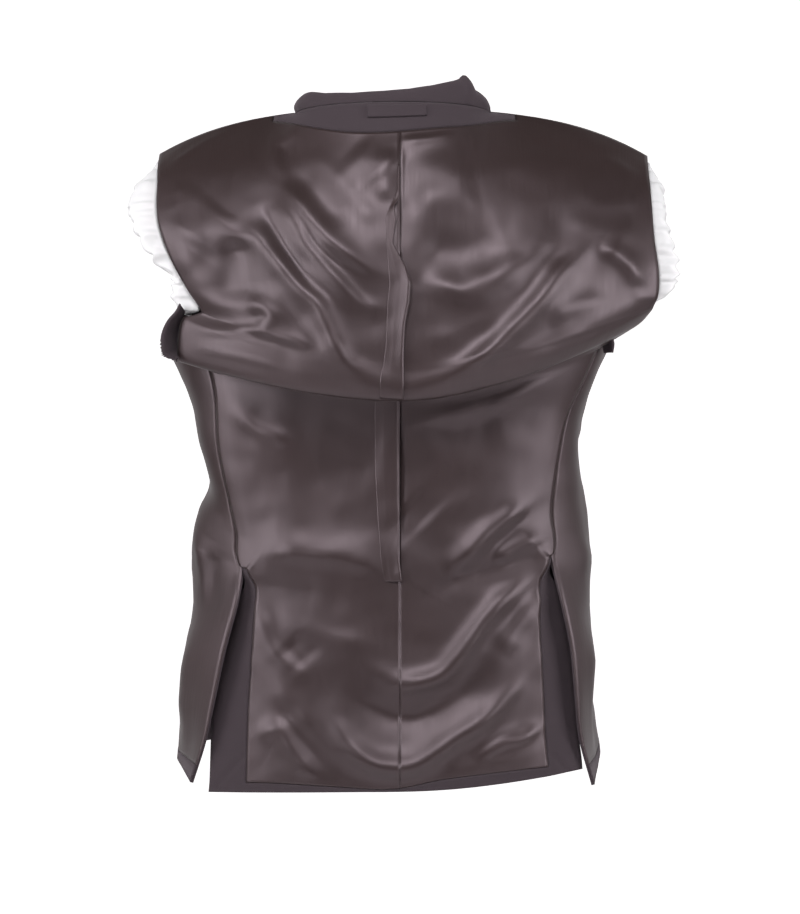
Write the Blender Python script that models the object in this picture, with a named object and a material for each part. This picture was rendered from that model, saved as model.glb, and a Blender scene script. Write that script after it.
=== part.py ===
"""Suit jacket, worn inside out: satin lining outside, wool inside, sleeves left hanging within."""
import math

import bpy
import numpy as np

for old in list(bpy.data.objects):
    bpy.data.objects.remove(old, do_unlink=True)

MM = 0.001

# Cloth sizes in millimetres. The seam surface lies between the wool and the lining.
WOOL_THICK = 1.6
LINING_THICK = 1.0
FACING_THICK = 1.25
HALF_GAP = 0.15
VENT_LIFT = 3.6
COLLAR_THICK = 3.1
LOOP_THICK = 1.2
SLEEVE_LINING_THICK = 1.0

# The grid of the body: columns from the centre back to the side seam, and cloth to each part.
BACK_COLUMNS = 10
NECK_COLUMN = 4
VENT_COLUMN = 8
NECK_POINT_LEFT = 0.425
NECK_POINT_RIGHT = 0.353
NECK_STEP_BACK = 24.0
BACK_FULLNESS = 2.3
FRONT_FULLNESS = 2.4
FRONT_COLUMNS = 6
SIDE_COLUMNS = 4
FACING_COLUMNS = 2

# Collar and trim.
COLLAR_FALL = 30.0
COLLAR_ROLL = 9.0
LOOP_LEFT = -0.128
LOOP_RIGHT = 0.102
LOOP_TOP = 0.12
LOOP_FOOT = 0.52
LOOP_LIFT = 0.5
PLEAT_LEFT = -0.85
PLEAT_RIGHT = -0.06
PLEAT_TOP_ROW = 3
PLEAT_LIFT = 0.6
LAPEL_WIDTH = 2.7
LAPEL_DEPTH = 7.0

# Sleeves, which hang inside the body.
SLEEVE_MOUTH_INSET = 3.0
LINING_MOUTH_INSET = 5.2
TUBE_CENTRE = 145.0
TUBE_HALF_WIDTH = 21.0
TUBE_HALF_DEPTH = 52.0
TUBE_LINING_INSET = 3.0
RING_EASE = 5
RING_MIN_STEP = 12.0
SLEEVE_TOP = -285.0
SLEEVE_CUFF = -575.0
PUFF_LEFT = 20.0
PUFF_RIGHT = 11.0

# Back sections in millimetres, from the shoulder seam to the hem. Each row gives the centre of
# the section (height, depth), its left outer edge (across, depth, height), its right outer edge,
# and how much of the row follows the round of the neck.
BACK_ROWS = [
    # name, centre height, centre depth, left x, y, z, right x, y, z, neck share
    ("neck and shoulder seam", 30.4, -85, -241.3, 2, -9.9, 248.3, 2, -11.9, 1.0),
    ("foot of neck facing", -0.3, -97, -240.8, -22, -24.9, 246.8, -22, -28.9, 0.7),
    ("top of shoulder blades", -34.1, -114, -238.8, -42, -41.1, 246.4, -45, -50.4, 0.35),
    ("armhole upper", -74.1, -130, -238.0, -60, -65.7, 246.6, -62, -76.7, 0.1),
    ("armhole middle", -113.1, -141, -233.7, -73, -90.5, 247.3, -74, -103.2, 0.0),
    ("armhole lower", -151.4, -148, -222.1, -82, -120.5, 250.3, -82, -130.2, 0.0),
    ("armhole foot", -189.3, -152, -206.3, -86, -149.8, 250.1, -84, -154.5, 0.0),
    ("blouse", -227.1, -155, -193.5, -88, -173.2, 245.4, -82, -167.0, 0.0),
    ("blouse low", -248.7, -156, -211.7, -80, -196.0, 242.8, -79, -171.7, 0.0),
    ("fold edge", -260.8, -150, -214.9, -76, -219.2, 234.6, -74, -179.2, 0.0),
    ("fold inside", -252.9, -136, -198.7, -72, -217.0, 219.5, -75, -184.5, 0.0),
    ("fold top", -244.0, -124, -187.2, -69, -217.5, 204.0, -76, -193.0, 0.0),
    ("fold exit", -257.1, -116, -180.2, -72, -231.5, 192.0, -76, -209.0, 0.0),
    ("below fold", -282.8, -111, -177.0, -76, -253.2, 181.1, -76, -230.7, 0.0),
    ("waist top", -321.2, -107, -174.0, -77, -306.7, 161.4, -77, -270.7, 0.0),
    ("waist", -364.3, -108, -163.2, -79, -358.2, 148.5, -80, -324.2, 0.0),
    ("seat top", -397.8, -112, -154.2, -82, -391.1, 142.5, -83, -367.8, 0.0),
    ("vent top", -432.9, -117, -152.1, -85, -421.0, 145.7, -86, -409.4, 0.0),
    ("vent shoulder", -449.5, -118.5, -150.0, -83.5, -437.5, 144.5, -85, -426.5, 0.0),
    ("seat", -466.2, -120, -159.0, -81, -458.2, 157.0, -83, -448.3, 0.0),
    ("skirt upper", -506.9, -124, -175.5, -82, -502.7, 167.0, -85, -492.8, 0.0),
    ("skirt middle", -549.3, -128, -181.1, -86, -548.8, 170.3, -88, -538.9, 0.0),
    ("skirt lower", -589.7, -132, -182.7, -90, -596.8, 171.9, -92, -579.1, 0.0),
    ("foot of lining", -620.6, -135, -183.4, -93, -624.4, 174.6, -95, -602.9, 0.0),
    ("hem", -630.9, -136, -184.3, -94, -636.8, 175.5, -96, -614.3, 0.0),
]
STEPS_BELOW_BACK_ROW = [2, 2, 2, 2, 2, 2, 2, 1, 1, 1, 1, 1, 1, 2, 2, 2, 2, 1, 1, 2, 2, 2, 2, 1]
FOLD_EDGE_ROW = 9
FOLD_EXIT_ROW = 12
VENT_ROW = 17
LINING_FOOT_ROW = 23

# Front sections above the armhole foot: the roll line of the lapel, then the armhole edge.
FRONT_UPPER_ROWS = [
    # name, roll line x, y, z, armhole edge x, y, z
    ("front shoulder", 98, 18, 20, 241, 30, -32),
    ("collar bone", 92, 48, -2, 236, 50, -62),
    ("gorge", 82, 74, -38, 231, 60, -98),
    ("chest", 70, 96, -88, 227, 56, -138),
    ("low chest", 56, 110, -145, 222, 46, -172),
]
STEPS_BELOW_UPPER_ROW = [2, 2, 2, 2, 2, 2]

# Front sections from the armhole foot to the hem: front edge, then the bend to the side.
FRONT_LOWER_ROWS = [
    # name, front edge x, y, z, side bend x, y, z
    ("armhole foot", 42, 116, -205, 206, 46, -205),
    ("below fold", 32, 117, -248, 186, 55, -246),
    ("waist top", 22, 116, -293, 172, 57, -292),
    ("waist", 13, 113, -343, 165, 56, -340),
    ("seat top", 8, 112, -384, 168, 56, -382),
    ("vent top", 7, 112, -425, 173, 57, -424),
    ("seat", 9, 113, -468, 177, 58, -466),
    ("skirt upper", 13, 115, -512, 182, 60, -511),
    ("skirt middle", 20, 117, -552, 186, 62, -556),
    ("skirt lower", 33, 119, -580, 189, 63, -580),
    ("hem", 58, 120, -602, 191, 63, -604),
]
STEPS_BELOW_LOWER_ROW = [1, 2, 2, 2, 2, 1, 1, 1, 1, 1]

# The widest line of each side, between the side bend and the side-back seam.
SIDE_ROWS = [
    # name, depth, left x, left z, right x, right z
    ("armhole foot", 2, -238.2, -205.9, 210.1, -205.9),
    ("below fold", -4, -211.6, -248.3, 185.5, -248.3),
    ("waist top", -6, -201.4, -288.5, 176.3, -290.5),
    ("waist", -6, -192.4, -330.5, 179.3, -330.5),
    ("seat top", -6, -197.4, -363.6, 187.4, -366.6),
    ("vent top", -8, -202.2, -401.6, 190.2, -404.6),
    ("seat", -12, -202.9, -458.4, 188.9, -460.4),
    ("skirt upper", -16, -212.5, -506.1, 189.6, -511.0),
    ("skirt middle", -18, -216.3, -560.7, 186.4, -560.7),
    ("skirt lower", -18, -218.3, -591.6, 191.4, -593.6),
    ("hem", -18, -220.3, -615.5, 196.4, -619.5),
]

# The free edge of the flap in front of each side vent.
FLAP_ROWS = [
    # name, left x, y, z, right x, y, z
    ("seat", -156.2, -99, -451.4, 155.2, -101, -451.3),
    ("skirt upper", -168.4, -104, -499.2, 164.5, -105, -497.3),
    ("skirt middle", -179.0, -103, -547.4, 169.3, -106, -547.3),
    ("skirt lower", -187.9, -101, -587.2, 173.3, -105, -584.1),
    ("hem", -201.1, -95, -627.7, 186.0, -100, -629.3),
]

# Collar roll: share of the path round the neck, and the height of the roll over the seam.
COLLAR_ROLL_HEIGHTS = [
    # share of the path, height
    (0.0, 9.0),
    (0.30, 12.0),
    (0.50, 12.0),
    (0.60, 15.0),
    (0.655, 21.0),
    (0.685, 26.0),
    (0.72, 17.0),
    (0.80, 11.0),
    (1.0, 9.0),
]

# Large folds of the back: how far each stands out, its half width, and its line (across, height).
FOLDS = [
    # name, zone, stands out, half width, line
    ("left ridge nearest the neck", "upper", 7, 12, [(-128, -54), (-88, -87), (-57, -118), (-11, -139)]),
    ("left second ridge", "upper", 5, 11, [(-120, -70), (-104, -96), (-82, -124), (-44, -158), (-19, -174)]),
    ("left long ridge", "upper", 7, 14, [(-151, -92), (-130, -115), (-95, -156), (-54, -219), (-26, -234)]),
    ("hollow behind the armhole", "upper", -9, 16, [(-154, -113), (-151, -146), (-148, -170)]),
    ("left shoulder swell", "upper", 4, 24, [(-166, -85), (-184, -106), (-199, -122)]),
    ("right short ridge", "upper", 6, 12, [(16, -139), (57, -156), (95, -137), (123, -115)]),
    ("right long ridge", "upper", 8, 16, [(12, -241), (47, -231), (85, -206), (132, -165), (180, -110)]),
    ("right armhole ridge", "upper", 6, 15, [(180, -110), (205, -127), (227, -153)]),
    ("right hollow", "upper", -4, 18, [(9, -118), (52, -118), (95, -104)]),
    ("left seat swell", "lower", 4, 16, [(-142, -392), (-85, -392), (-19, -408)]),
    ("right seat swell", "lower", 6, 15, [(28, -430), (63, -395), (88, -361), (116, -354)]),
    ("right seat trough", "lower", -4, 12, [(142, -361), (113, -383), (85, -408)]),
    ("skirt swag", "lower", 6, 13, [(139, -414), (101, -449), (69, -480), (38, -522), (7, -527), (-26, -512)]),
    ("skirt left ridge", "lower", 5, 12, [(-139, -439), (-120, -480), (-95, -512), (-76, -527)]),
    ("skirt low swag, left", "lower", 7, 13, [(-95, -562), (-57, -565), (-31, -597), (-7, -607)]),
    ("skirt low swag, right", "lower", 7, 13, [(-7, -607), (22, -597), (69, -565), (107, -527), (130, -489)]),
    ("left hem ridge", "lower", 5, 12, [(-135, -588), (-111, -578), (-88, -610)]),
    ("right hem ridge", "lower", 4, 12, [(66, -603), (101, -584), (135, -565)]),
]

WOOL_COLOUR = (0.085, 0.066, 0.078, 1.0)
LINING_COLOUR = (0.125, 0.092, 0.092, 1.0)
SLEEVE_LINING_COLOUR = (0.78, 0.77, 0.76, 1.0)


def curve_through(rows, steps):
    """Smooth curve through table rows, with so many steps below each row."""
    rows = np.asarray(rows, float)
    first = 2 * rows[0] - rows[1]
    last = 2 * rows[-1] - rows[-2]
    padded = np.vstack([first[None], rows, last[None]])
    made = []
    for i, count in enumerate(steps):
        a, b, c, d = padded[i], padded[i + 1], padded[i + 2], padded[i + 3]
        for k in range(count):
            t = k / count
            made.append(0.5 * (2 * b + (c - a) * t + (2 * a - 5 * b + 4 * c - d) * t ** 2
                               + (3 * b - a - 3 * c + d) * t ** 3))
    made.append(rows[-1])
    return np.array(made)


def row_starts(steps):
    """Grid row on which each table row falls."""
    return [sum(steps[:i]) for i in range(len(steps) + 1)]


def line_distance(points, line):
    """Distance from flat points to a line of corners, and the share of the line they fall at."""
    line = np.asarray(line, float)
    lengths = np.linalg.norm(np.diff(line, axis=0), axis=1)
    total = lengths.sum()
    best = np.full(len(points), 1e9)
    share = np.zeros(len(points))
    run = 0.0
    for a, b, length in zip(line[:-1], line[1:], lengths):
        t = np.clip(((points - a) @ (b - a)) / length ** 2, 0, 1)
        away = np.linalg.norm(points - (a + t[:, None] * (b - a)), axis=1)
        nearer = away < best
        best[nearer] = away[nearer]
        share[nearer] = ((run + t * length) / total)[nearer]
        run += length
    return best, share


def fold_lift(flat, zone):
    """How far the folds of one zone lift the cloth at flat (across, height) points."""
    lift = np.zeros(len(flat))
    for name, where, height, width, line in FOLDS:
        if where != zone:
            continue
        away, share = line_distance(flat, line)
        ends = 0.45 + 0.55 * np.sin(math.pi * share)
        lift += height * ends * np.exp(-(away / width) ** 2)
    return lift


def back_row(row, side):
    """Half of one back section, from the centre to the outer edge."""
    zc, yc, xl, yl, zl, xr, yr, zr, neck = row
    xo, yo, zo = (xl, yl, zl) if side < 0 else (xr, yr, zr)
    neck_point = NECK_POINT_LEFT if side < 0 else NECK_POINT_RIGHT
    points = []
    for c in range(BACK_COLUMNS + 1):
        if c <= NECK_COLUMN:
            u = neck_point * c / NECK_COLUMN
        else:
            u = neck_point + (1 - neck_point) * (c - NECK_COLUMN) / (BACK_COLUMNS - NECK_COLUMN)
        plain = yo + (yc - yo) * (1 - u ** BACK_FULLNESS)
        foot = yo - NECK_STEP_BACK
        if u < neck_point:
            round_neck = foot + (yc - foot) * math.sqrt(1 - (u / neck_point) ** 2)
        else:
            round_neck = foot + (yo - foot) * (u - neck_point) / (1 - neck_point)
        y = neck * round_neck + (1 - neck) * plain
        z = zc + (zo - zc) * u ** (1.7 + 1.6 * neck)
        points.append((xo * u, y, z))
    return points


def back_grid():
    """Seam surface of the whole back, rows down and columns from left to right."""
    values = [row[1:] for row in BACK_ROWS]
    rows = curve_through(values, STEPS_BELOW_BACK_ROW)
    rows[:, 8] = np.clip(rows[:, 8], 0, 1)
    grid = []
    for row in rows:
        left = back_row(row, -1)
        right = back_row(row, 1)
        grid.append(left[::-1] + right[1:])
    grid = np.array(grid)
    starts = row_starts(STEPS_BELOW_BACK_ROW)
    lower_start = starts[FOLD_EXIT_ROW + 1]
    upper_end = starts[FOLD_EDGE_ROW]
    for i in range(len(grid)):
        if i < upper_end:
            zone, share = "upper", min(1.0, i / 3, (upper_end - i) / 2)
        elif i >= lower_start:
            zone, share = "lower", min(1.0, (len(grid) - i) / 2)
        else:
            continue
        lift = fold_lift(grid[i][:, [0, 2]], zone) * share
        lift[0] = 0
        lift[-1] = 0
        grid[i][:, 1] -= lift
    return grid


def hermite(a, b, start, end, count):
    """Curve from a to b that leaves along start and arrives along end."""
    a, b = np.array(a, float), np.array(b, float)
    length = np.linalg.norm(b - a)
    start = np.array(start, float) / np.linalg.norm(start) * length
    end = np.array(end, float) / np.linalg.norm(end) * length
    points = []
    for k in range(1, count + 1):
        t = k / count
        points.append((2 * t ** 3 - 3 * t ** 2 + 1) * a + (t ** 3 - 2 * t ** 2 + t) * start
                      + (3 * t ** 2 - 2 * t ** 3) * b + (t ** 3 - t ** 2) * end)
    return points


def front_section(edge, outer, fullness):
    """Front half section from the front edge to the armhole or to the side bend."""
    points = []
    for c in range(FRONT_COLUMNS + 1):
        t = c / FRONT_COLUMNS
        x = edge[0] + (outer[0] - edge[0]) * t
        y = outer[1] + (edge[1] - outer[1]) * (1 - t ** fullness)
        z = edge[2] + (outer[2] - edge[2]) * t
        points.append(np.array((x, y, z)))
    return points


def front_grid(side, back):
    """Seam surface of one front, wrapped round the side to the side-back seam or vent."""
    middle = BACK_COLUMNS
    columns = range(middle - NECK_COLUMN, -1, -1) if side < 0 else range(middle + NECK_COLUMN, 2 * middle + 1)
    shoulder = [back[0][c] for c in columns]
    upper = []
    for name, ex, ey, ez, ax, ay, az in FRONT_UPPER_ROWS:
        upper.append(front_section((side * ex, ey, ez), (side * ax, ay, az), FRONT_FULLNESS))
    lower = []
    flaps = {row[0]: row for row in FLAP_ROWS}
    starts = row_starts(STEPS_BELOW_BACK_ROW)
    lower_names = [row[0] for row in BACK_ROWS]
    seam_column = 0 if side < 0 else 2 * BACK_COLUMNS
    for i, (name, ex, ey, ez, fx, fy, fz) in enumerate(FRONT_LOWER_ROWS):
        edge = np.array((side * ex, ey, ez), float)
        bend = np.array((side * fx, fy, fz), float)
        if i == 0:
            bend[0] = side * (209 if side < 0 else 200)
        depth, lx, lz, rx, rz = SIDE_ROWS[i][1:]
        wide = np.array((lx if side < 0 else rx, depth, lz if side < 0 else rz), float)
        if name in flaps:
            values = flaps[name][1:]
            seam = np.array(values[:3] if side < 0 else values[3:], float)
            arrive = np.array((-side * 0.6, -0.7, 0.0))
        else:
            table_row = FOLD_EXIT_ROW if i == 0 else lower_names.index(name)
            seam = back[starts[table_row]][seam_column]
            arrive = np.array((-side * 0.75, -0.55, 0.0))
        points = front_section(edge, bend, FRONT_FULLNESS)
        leave = np.array((bend[0] - edge[0], (bend[1] - edge[1]) * FRONT_FULLNESS, 0.0))
        half = SIDE_COLUMNS // 2
        points += hermite(bend, wide, leave, (0, -1, 0), half)
        points += hermite(wide, seam, (0, -1, 0), arrive, half)
        lower.append(points)
    upper_all = [shoulder] + upper + [lower[0][:FRONT_COLUMNS + 1]]
    top = curve_through(upper_all, STEPS_BELOW_UPPER_ROW)[:-1]
    bottom = curve_through(lower, STEPS_BELOW_LOWER_ROW)
    lower_starts = row_starts(STEPS_BELOW_LOWER_ROW)
    vent_here = 5
    for i in range(lower_starts[vent_here] + 1):
        bottom[i][-1] = back[starts[FOLD_EXIT_ROW] + i][seam_column]
    bottom[lower_starts[vent_here]][-1] += np.array((side * VENT_LIFT * 0.85, -VENT_LIFT * 0.65, 0.0))
    width = FRONT_COLUMNS + SIDE_COLUMNS + 1
    grid = np.zeros((len(top) + len(bottom), width, 3))
    grid[:len(top), :FRONT_COLUMNS + 1] = top
    for i in range(len(top)):
        grid[i, FRONT_COLUMNS + 1:] = top[i][-1]
    grid[len(top):] = bottom
    mask = np.ones((len(grid) - 1, width - 1), bool)
    mask[:len(top), FRONT_COLUMNS:] = False
    return grid, mask, len(top)


def face_normal(a, b, c, d):
    """Area normal of a four-sided face given in turning order."""
    return np.cross(c - a, d - b)


def key(point):
    """Position rounded so that shared seam points meet."""
    return tuple(np.round(point, 2))


def seam_normals(parts):
    """Outward normals of several grids, averaged where the grids share a seam."""
    total = {}
    for grid, mask, flip in parts:
        for i, j in np.argwhere(mask):
            a, b, c, d = grid[i, j], grid[i + 1, j], grid[i + 1, j + 1], grid[i, j + 1]
            normal = face_normal(a, b, c, d) * (-1 if flip else 1)
            for p in (a, b, c, d):
                total[key(p)] = total.get(key(p), np.zeros(3)) + normal
    result = []
    for grid, mask, flip in parts:
        normals = np.zeros_like(grid)
        for i in range(grid.shape[0]):
            for j in range(grid.shape[1]):
                n = total.get(key(grid[i, j]))
                normals[i, j] = (0, -1, 0) if n is None else n / np.linalg.norm(n)
        result.append(normals)
    return result


def material(name, colour, roughness):
    """Plain cloth material."""
    made = bpy.data.materials.new(name)
    made.use_nodes = True
    shader = made.node_tree.nodes["Principled BSDF"]
    shader.inputs["Base Color"].default_value = colour
    shader.inputs["Roughness"].default_value = roughness
    return made


def add_object(name, vertices, faces, colour, roughness):
    """Mesh object in metres from millimetre points."""
    mesh = bpy.data.meshes.new(name)
    mesh.from_pydata([tuple(v * MM) for v in vertices], [], faces)
    mesh.update()
    obj = bpy.data.objects.new(name, mesh)
    bpy.context.scene.collection.objects.link(obj)
    mesh.materials.append(material(name + "_cloth", colour, roughness))
    for polygon in mesh.polygons:
        polygon.use_smooth = True
    return obj


def wall(name, grid, normals, mask, flip, low, high, colour, roughness=0.8, inset=HALF_GAP, ring=False):
    """Closed cloth wall over the masked faces of a grid, from low to high along the normals."""
    rows, columns = grid.shape[:2]
    quads = []
    for i, j in np.argwhere(mask):
        k = (j + 1) % columns if ring else j + 1
        quad = [(i, j), (i + 1, j), (i + 1, k), (i, k)]
        quads.append(quad[::-1] if flip else quad)
    triangles = []
    for a, b, c, d in quads:
        if ring or np.linalg.norm(grid[a] - grid[c]) <= np.linalg.norm(grid[b] - grid[d]):
            triangles += [(a, b, c), (a, c, d)]
        else:
            triangles += [(a, b, d), (b, c, d)]
    edges = {}
    for t in triangles:
        for a, b in ((t[0], t[1]), (t[1], t[2]), (t[2], t[0])):
            edges[(a, b)] = True
    rim = [e for e in edges if (e[1], e[0]) not in edges]
    inward = {}
    for a, b in rim:
        along = grid[b] - grid[a]
        normal = normals[a] + normals[b]
        inner = np.cross(normal, along)
        length = np.linalg.norm(inner)
        if length < 1e-9:
            continue
        inner = inner / length
        inward.setdefault(a, []).append(inner)
        inward.setdefault(b, []).append(inner)
    used = sorted({p for t in triangles for p in t})
    order = {p: n for n, p in enumerate(used)}
    count = len(used)
    outer, below = [], []
    for p in used:
        point = grid[p].copy()
        if p in inward:
            sides = inward[p]
            mean = sum(sides)
            overlap = max(0.4, 1 + float(sides[0] @ sides[-1])) if len(sides) > 1 else 1.0
            point = point + mean / overlap * inset
        outer.append(point + normals[p] * high)
        below.append(point + normals[p] * low)
    faces = []
    for a, b, c in triangles:
        faces.append((order[a], order[b], order[c]))
        faces.append((count + order[c], count + order[b], count + order[a]))
    for a, b in rim:
        faces.append((order[b], order[a], count + order[a]))
        faces.append((order[b], count + order[a], count + order[b]))
    return add_object(name, outer + below, faces, colour, roughness)


def region(shape, rows, columns):
    """Mask that holds a block of rows and columns."""
    mask = np.zeros(shape, bool)
    mask[rows[0]:rows[1], columns[0]:columns[1]] = True
    return mask


def sample(grid, row, column):
    """Point of a grid at a fractional row and column."""
    i = min(int(row), grid.shape[0] - 2)
    j = min(int(column), grid.shape[1] - 2)
    s, t = row - i, column - j
    return ((1 - s) * (1 - t) * grid[i, j] + (1 - s) * t * grid[i, j + 1]
            + s * (1 - t) * grid[i + 1, j] + s * t * grid[i + 1, j + 1])


def sampled(grid, normals, rows, columns, lift):
    """Small grid taken from a larger one and moved out along its normals."""
    points = np.array([[sample(grid, r, c) for c in columns] for r in rows])
    outward = np.array([[sample(normals, r, c) for c in columns] for r in rows])
    outward = outward / np.linalg.norm(outward, axis=2)[:, :, None]
    return points + outward * lift, outward


def grid_normals(grid, flip=False, ring=False):
    """Normals of a grid that stands alone."""
    columns = grid.shape[1]
    total = np.zeros_like(grid)
    for i in range(grid.shape[0] - 1):
        for j in range(columns if ring else columns - 1):
            k = (j + 1) % columns
            a, b, c, d = (i, j), (i + 1, j), (i + 1, k), (i, k)
            normal = face_normal(grid[a], grid[b], grid[c], grid[d]) * (-1 if flip else 1)
            for p in (a, b, c, d):
                total[p] += normal
    return total / np.maximum(np.linalg.norm(total, axis=2), 1e-9)[:, :, None]


def build_body():
    """All body panels; returns what the collar, sleeves and trim need."""
    back = back_grid()
    left, left_mask, left_top = front_grid(-1, back)
    right, right_mask, right_top = front_grid(1, back)
    back_mask = np.ones((back.shape[0] - 1, back.shape[1] - 1), bool)
    parts = [(back, back_mask, False), (left, left_mask, False), (right, right_mask, True)]
    back_n, left_n, right_n = seam_normals(parts)
    starts = row_starts(STEPS_BELOW_BACK_ROW)
    middle = BACK_COLUMNS
    wide = 2 * BACK_COLUMNS
    shape = back_mask.shape
    neck_row = starts[1]
    vent_row = starts[VENT_ROW]
    foot_row = starts[LINING_FOOT_ROW]
    shell_low, shell_high = -HALF_GAP - WOOL_THICK, -HALF_GAP
    facing_columns = (middle - NECK_COLUMN - 1, middle + NECK_COLUMN + 1)
    neck_facing = region(shape, (0, neck_row), facing_columns)
    turn_up = region(shape, (foot_row, shape[0]), (0, wide))
    turn_up |= region(shape, (vent_row, shape[0]), (0, middle - VENT_COLUMN))
    turn_up |= region(shape, (vent_row, shape[0]), (middle + VENT_COLUMN, wide))
    lining = ~neck_facing & ~turn_up
    halves = {"left": (0, middle), "right": (middle, wide)}
    for word, columns in halves.items():
        half = region(shape, (0, shape[0]), columns)
        wall("shell_back_" + word, back, back_n, half, False, shell_low, shell_high, WOOL_COLOUR)
        wall("lining_back_" + word, back, back_n, half & lining, False,
             HALF_GAP, HALF_GAP + LINING_THICK, LINING_COLOUR, 0.4)
        wall("turn_up_back_" + word, back, back_n, half & turn_up, False,
             HALF_GAP, HALF_GAP + FACING_THICK, WOOL_COLOUR)
    wall("facing_back_neck", back, back_n, neck_facing, False,
         HALF_GAP, HALF_GAP + FACING_THICK, WOOL_COLOUR)
    fronts = {"left": (left, left_n, left_mask, False), "right": (right, right_n, right_mask, True)}
    for word, (grid, normals, mask, flip) in fronts.items():
        facing = region(mask.shape, (0, mask.shape[0]), (0, FACING_COLUMNS)) & mask
        strip = region(mask.shape, (mask.shape[0] - 1, mask.shape[0]), (FACING_COLUMNS, mask.shape[1]))
        wall("shell_front_" + word, grid, normals, mask, flip, shell_low, shell_high, WOOL_COLOUR)
        wall("facing_front_" + word, grid, normals, facing, flip,
             HALF_GAP, HALF_GAP + FACING_THICK, WOOL_COLOUR)
        wall("lining_front_" + word, grid, normals, mask & ~facing & ~strip, flip,
             HALF_GAP, HALF_GAP + LINING_THICK, LINING_COLOUR, 0.4)
        wall("turn_up_front_" + word, grid, normals, strip, flip,
             HALF_GAP, HALF_GAP + FACING_THICK, WOOL_COLOUR)
    return back, back_n, fronts, left_top


def build_collar(back, back_n, fronts):
    """Collar from gorge to gorge: up from the neck seam, over a roll, and down inside."""
    gorge_row = row_starts(STEPS_BELOW_UPPER_ROW)[3]
    middle = BACK_COLUMNS
    path, outward, up = [], [], []
    left, left_n = fronts["left"][0], fronts["left"][1]
    right, right_n = fronts["right"][0], fronts["right"][1]
    for i in range(gorge_row, 0, -1):
        path.append(left[i, 0])
        outward.append(left_n[i, 0])
        up.append(left[i, 0] - left[i, 1])
    for c in range(middle - NECK_COLUMN, middle + NECK_COLUMN + 1):
        path.append(back[0, c])
        outward.append(back_n[0, c])
        up.append(back[0, c] - back[1, c])
    for i in range(1, gorge_row + 1):
        path.append(right[i, 0])
        outward.append(right_n[i, 0])
        up.append(right[i, 0] - right[i, 1])
    path, outward, up = np.array(path), np.array(outward), np.array(up)
    up /= np.linalg.norm(up, axis=1)[:, None]
    for k in (gorge_row, len(path) - gorge_row - 1):
        up[k] = up[k - 1] + up[k + 1] + np.array((0, 0, 0.6))
        up[k] /= np.linalg.norm(up[k])
    length = np.concatenate([[0], np.cumsum(np.linalg.norm(np.diff(path, axis=0), axis=1))])
    share = length / length[-1]
    stops = np.array(COLLAR_ROLL_HEIGHTS)
    heights = np.interp(share, stops[:, 0], stops[:, 1])
    grid = []
    for point, n, u, h in zip(path, outward, up, heights):
        flat = np.array((n[0], n[1], 0.0))
        inward = -flat / max(np.linalg.norm(flat), 1e-6)
        rise = u * 0.5 + np.array((0, 0, 0.5))
        rise /= np.linalg.norm(rise)
        start = point + u * 2 * HALF_GAP
        centre = start + n * (-0.17)
        column = [
            centre,
            centre + rise * h * 0.5,
            centre + rise * h * 0.9 + inward * 1.0,
            centre + rise * (h + 2.0) + inward * (COLLAR_ROLL * 0.5),
            centre + rise * h * 0.85 + inward * COLLAR_ROLL,
            centre + rise * h * 0.2 + inward * (COLLAR_ROLL + 1.5),
            centre + inward * (COLLAR_ROLL + 1.0) + np.array((0, 0, -COLLAR_FALL * 0.45)),
            centre + inward * COLLAR_ROLL + np.array((0, 0, -COLLAR_FALL)),
        ]
        grid.append(column)
    grid = np.array(grid).transpose(1, 0, 2)
    normals = grid_normals(grid, flip=True)
    normals[0] = outward
    mask = np.ones((grid.shape[0] - 1, grid.shape[1] - 1), bool)
    half = COLLAR_THICK / 2
    wall("collar", grid, normals, mask, True, -half, half, WOOL_COLOUR, inset=0.0)


def build_lapels(fronts):
    """Lapels folded to the inside from the roll line of each front."""
    gorge_row = row_starts(STEPS_BELOW_UPPER_ROW)[3]
    last_row = row_starts(STEPS_BELOW_UPPER_ROW)[6] + row_starts(STEPS_BELOW_LOWER_ROW)[2]
    for word, (grid, normals, mask, flip) in fronts.items():
        rows = list(range(gorge_row + 1, last_row + 1, 1))
        points, outward = [], []
        for r in rows:
            share = (r - rows[0]) / (rows[-1] - rows[0])
            width = LAPEL_WIDTH * (1 - 0.85 * share ** 1.5)
            line, out = [], []
            for k, lift in enumerate((-3.2, -LAPEL_DEPTH * 0.8, -LAPEL_DEPTH, -LAPEL_DEPTH)):
                column = width * k / 3
                n = sample(normals, r, column)
                n = n / np.linalg.norm(n)
                line.append(sample(grid, r, column) + n * lift)
                out.append(n)
            points.append(line)
            outward.append(out)
        points, outward = np.array(points), np.array(outward)
        lapel_mask = np.ones((points.shape[0] - 1, points.shape[1] - 1), bool)
        wall("lapel_" + word, points, outward, lapel_mask, flip, -1.0, 1.0, WOOL_COLOUR, inset=0.0)


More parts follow.
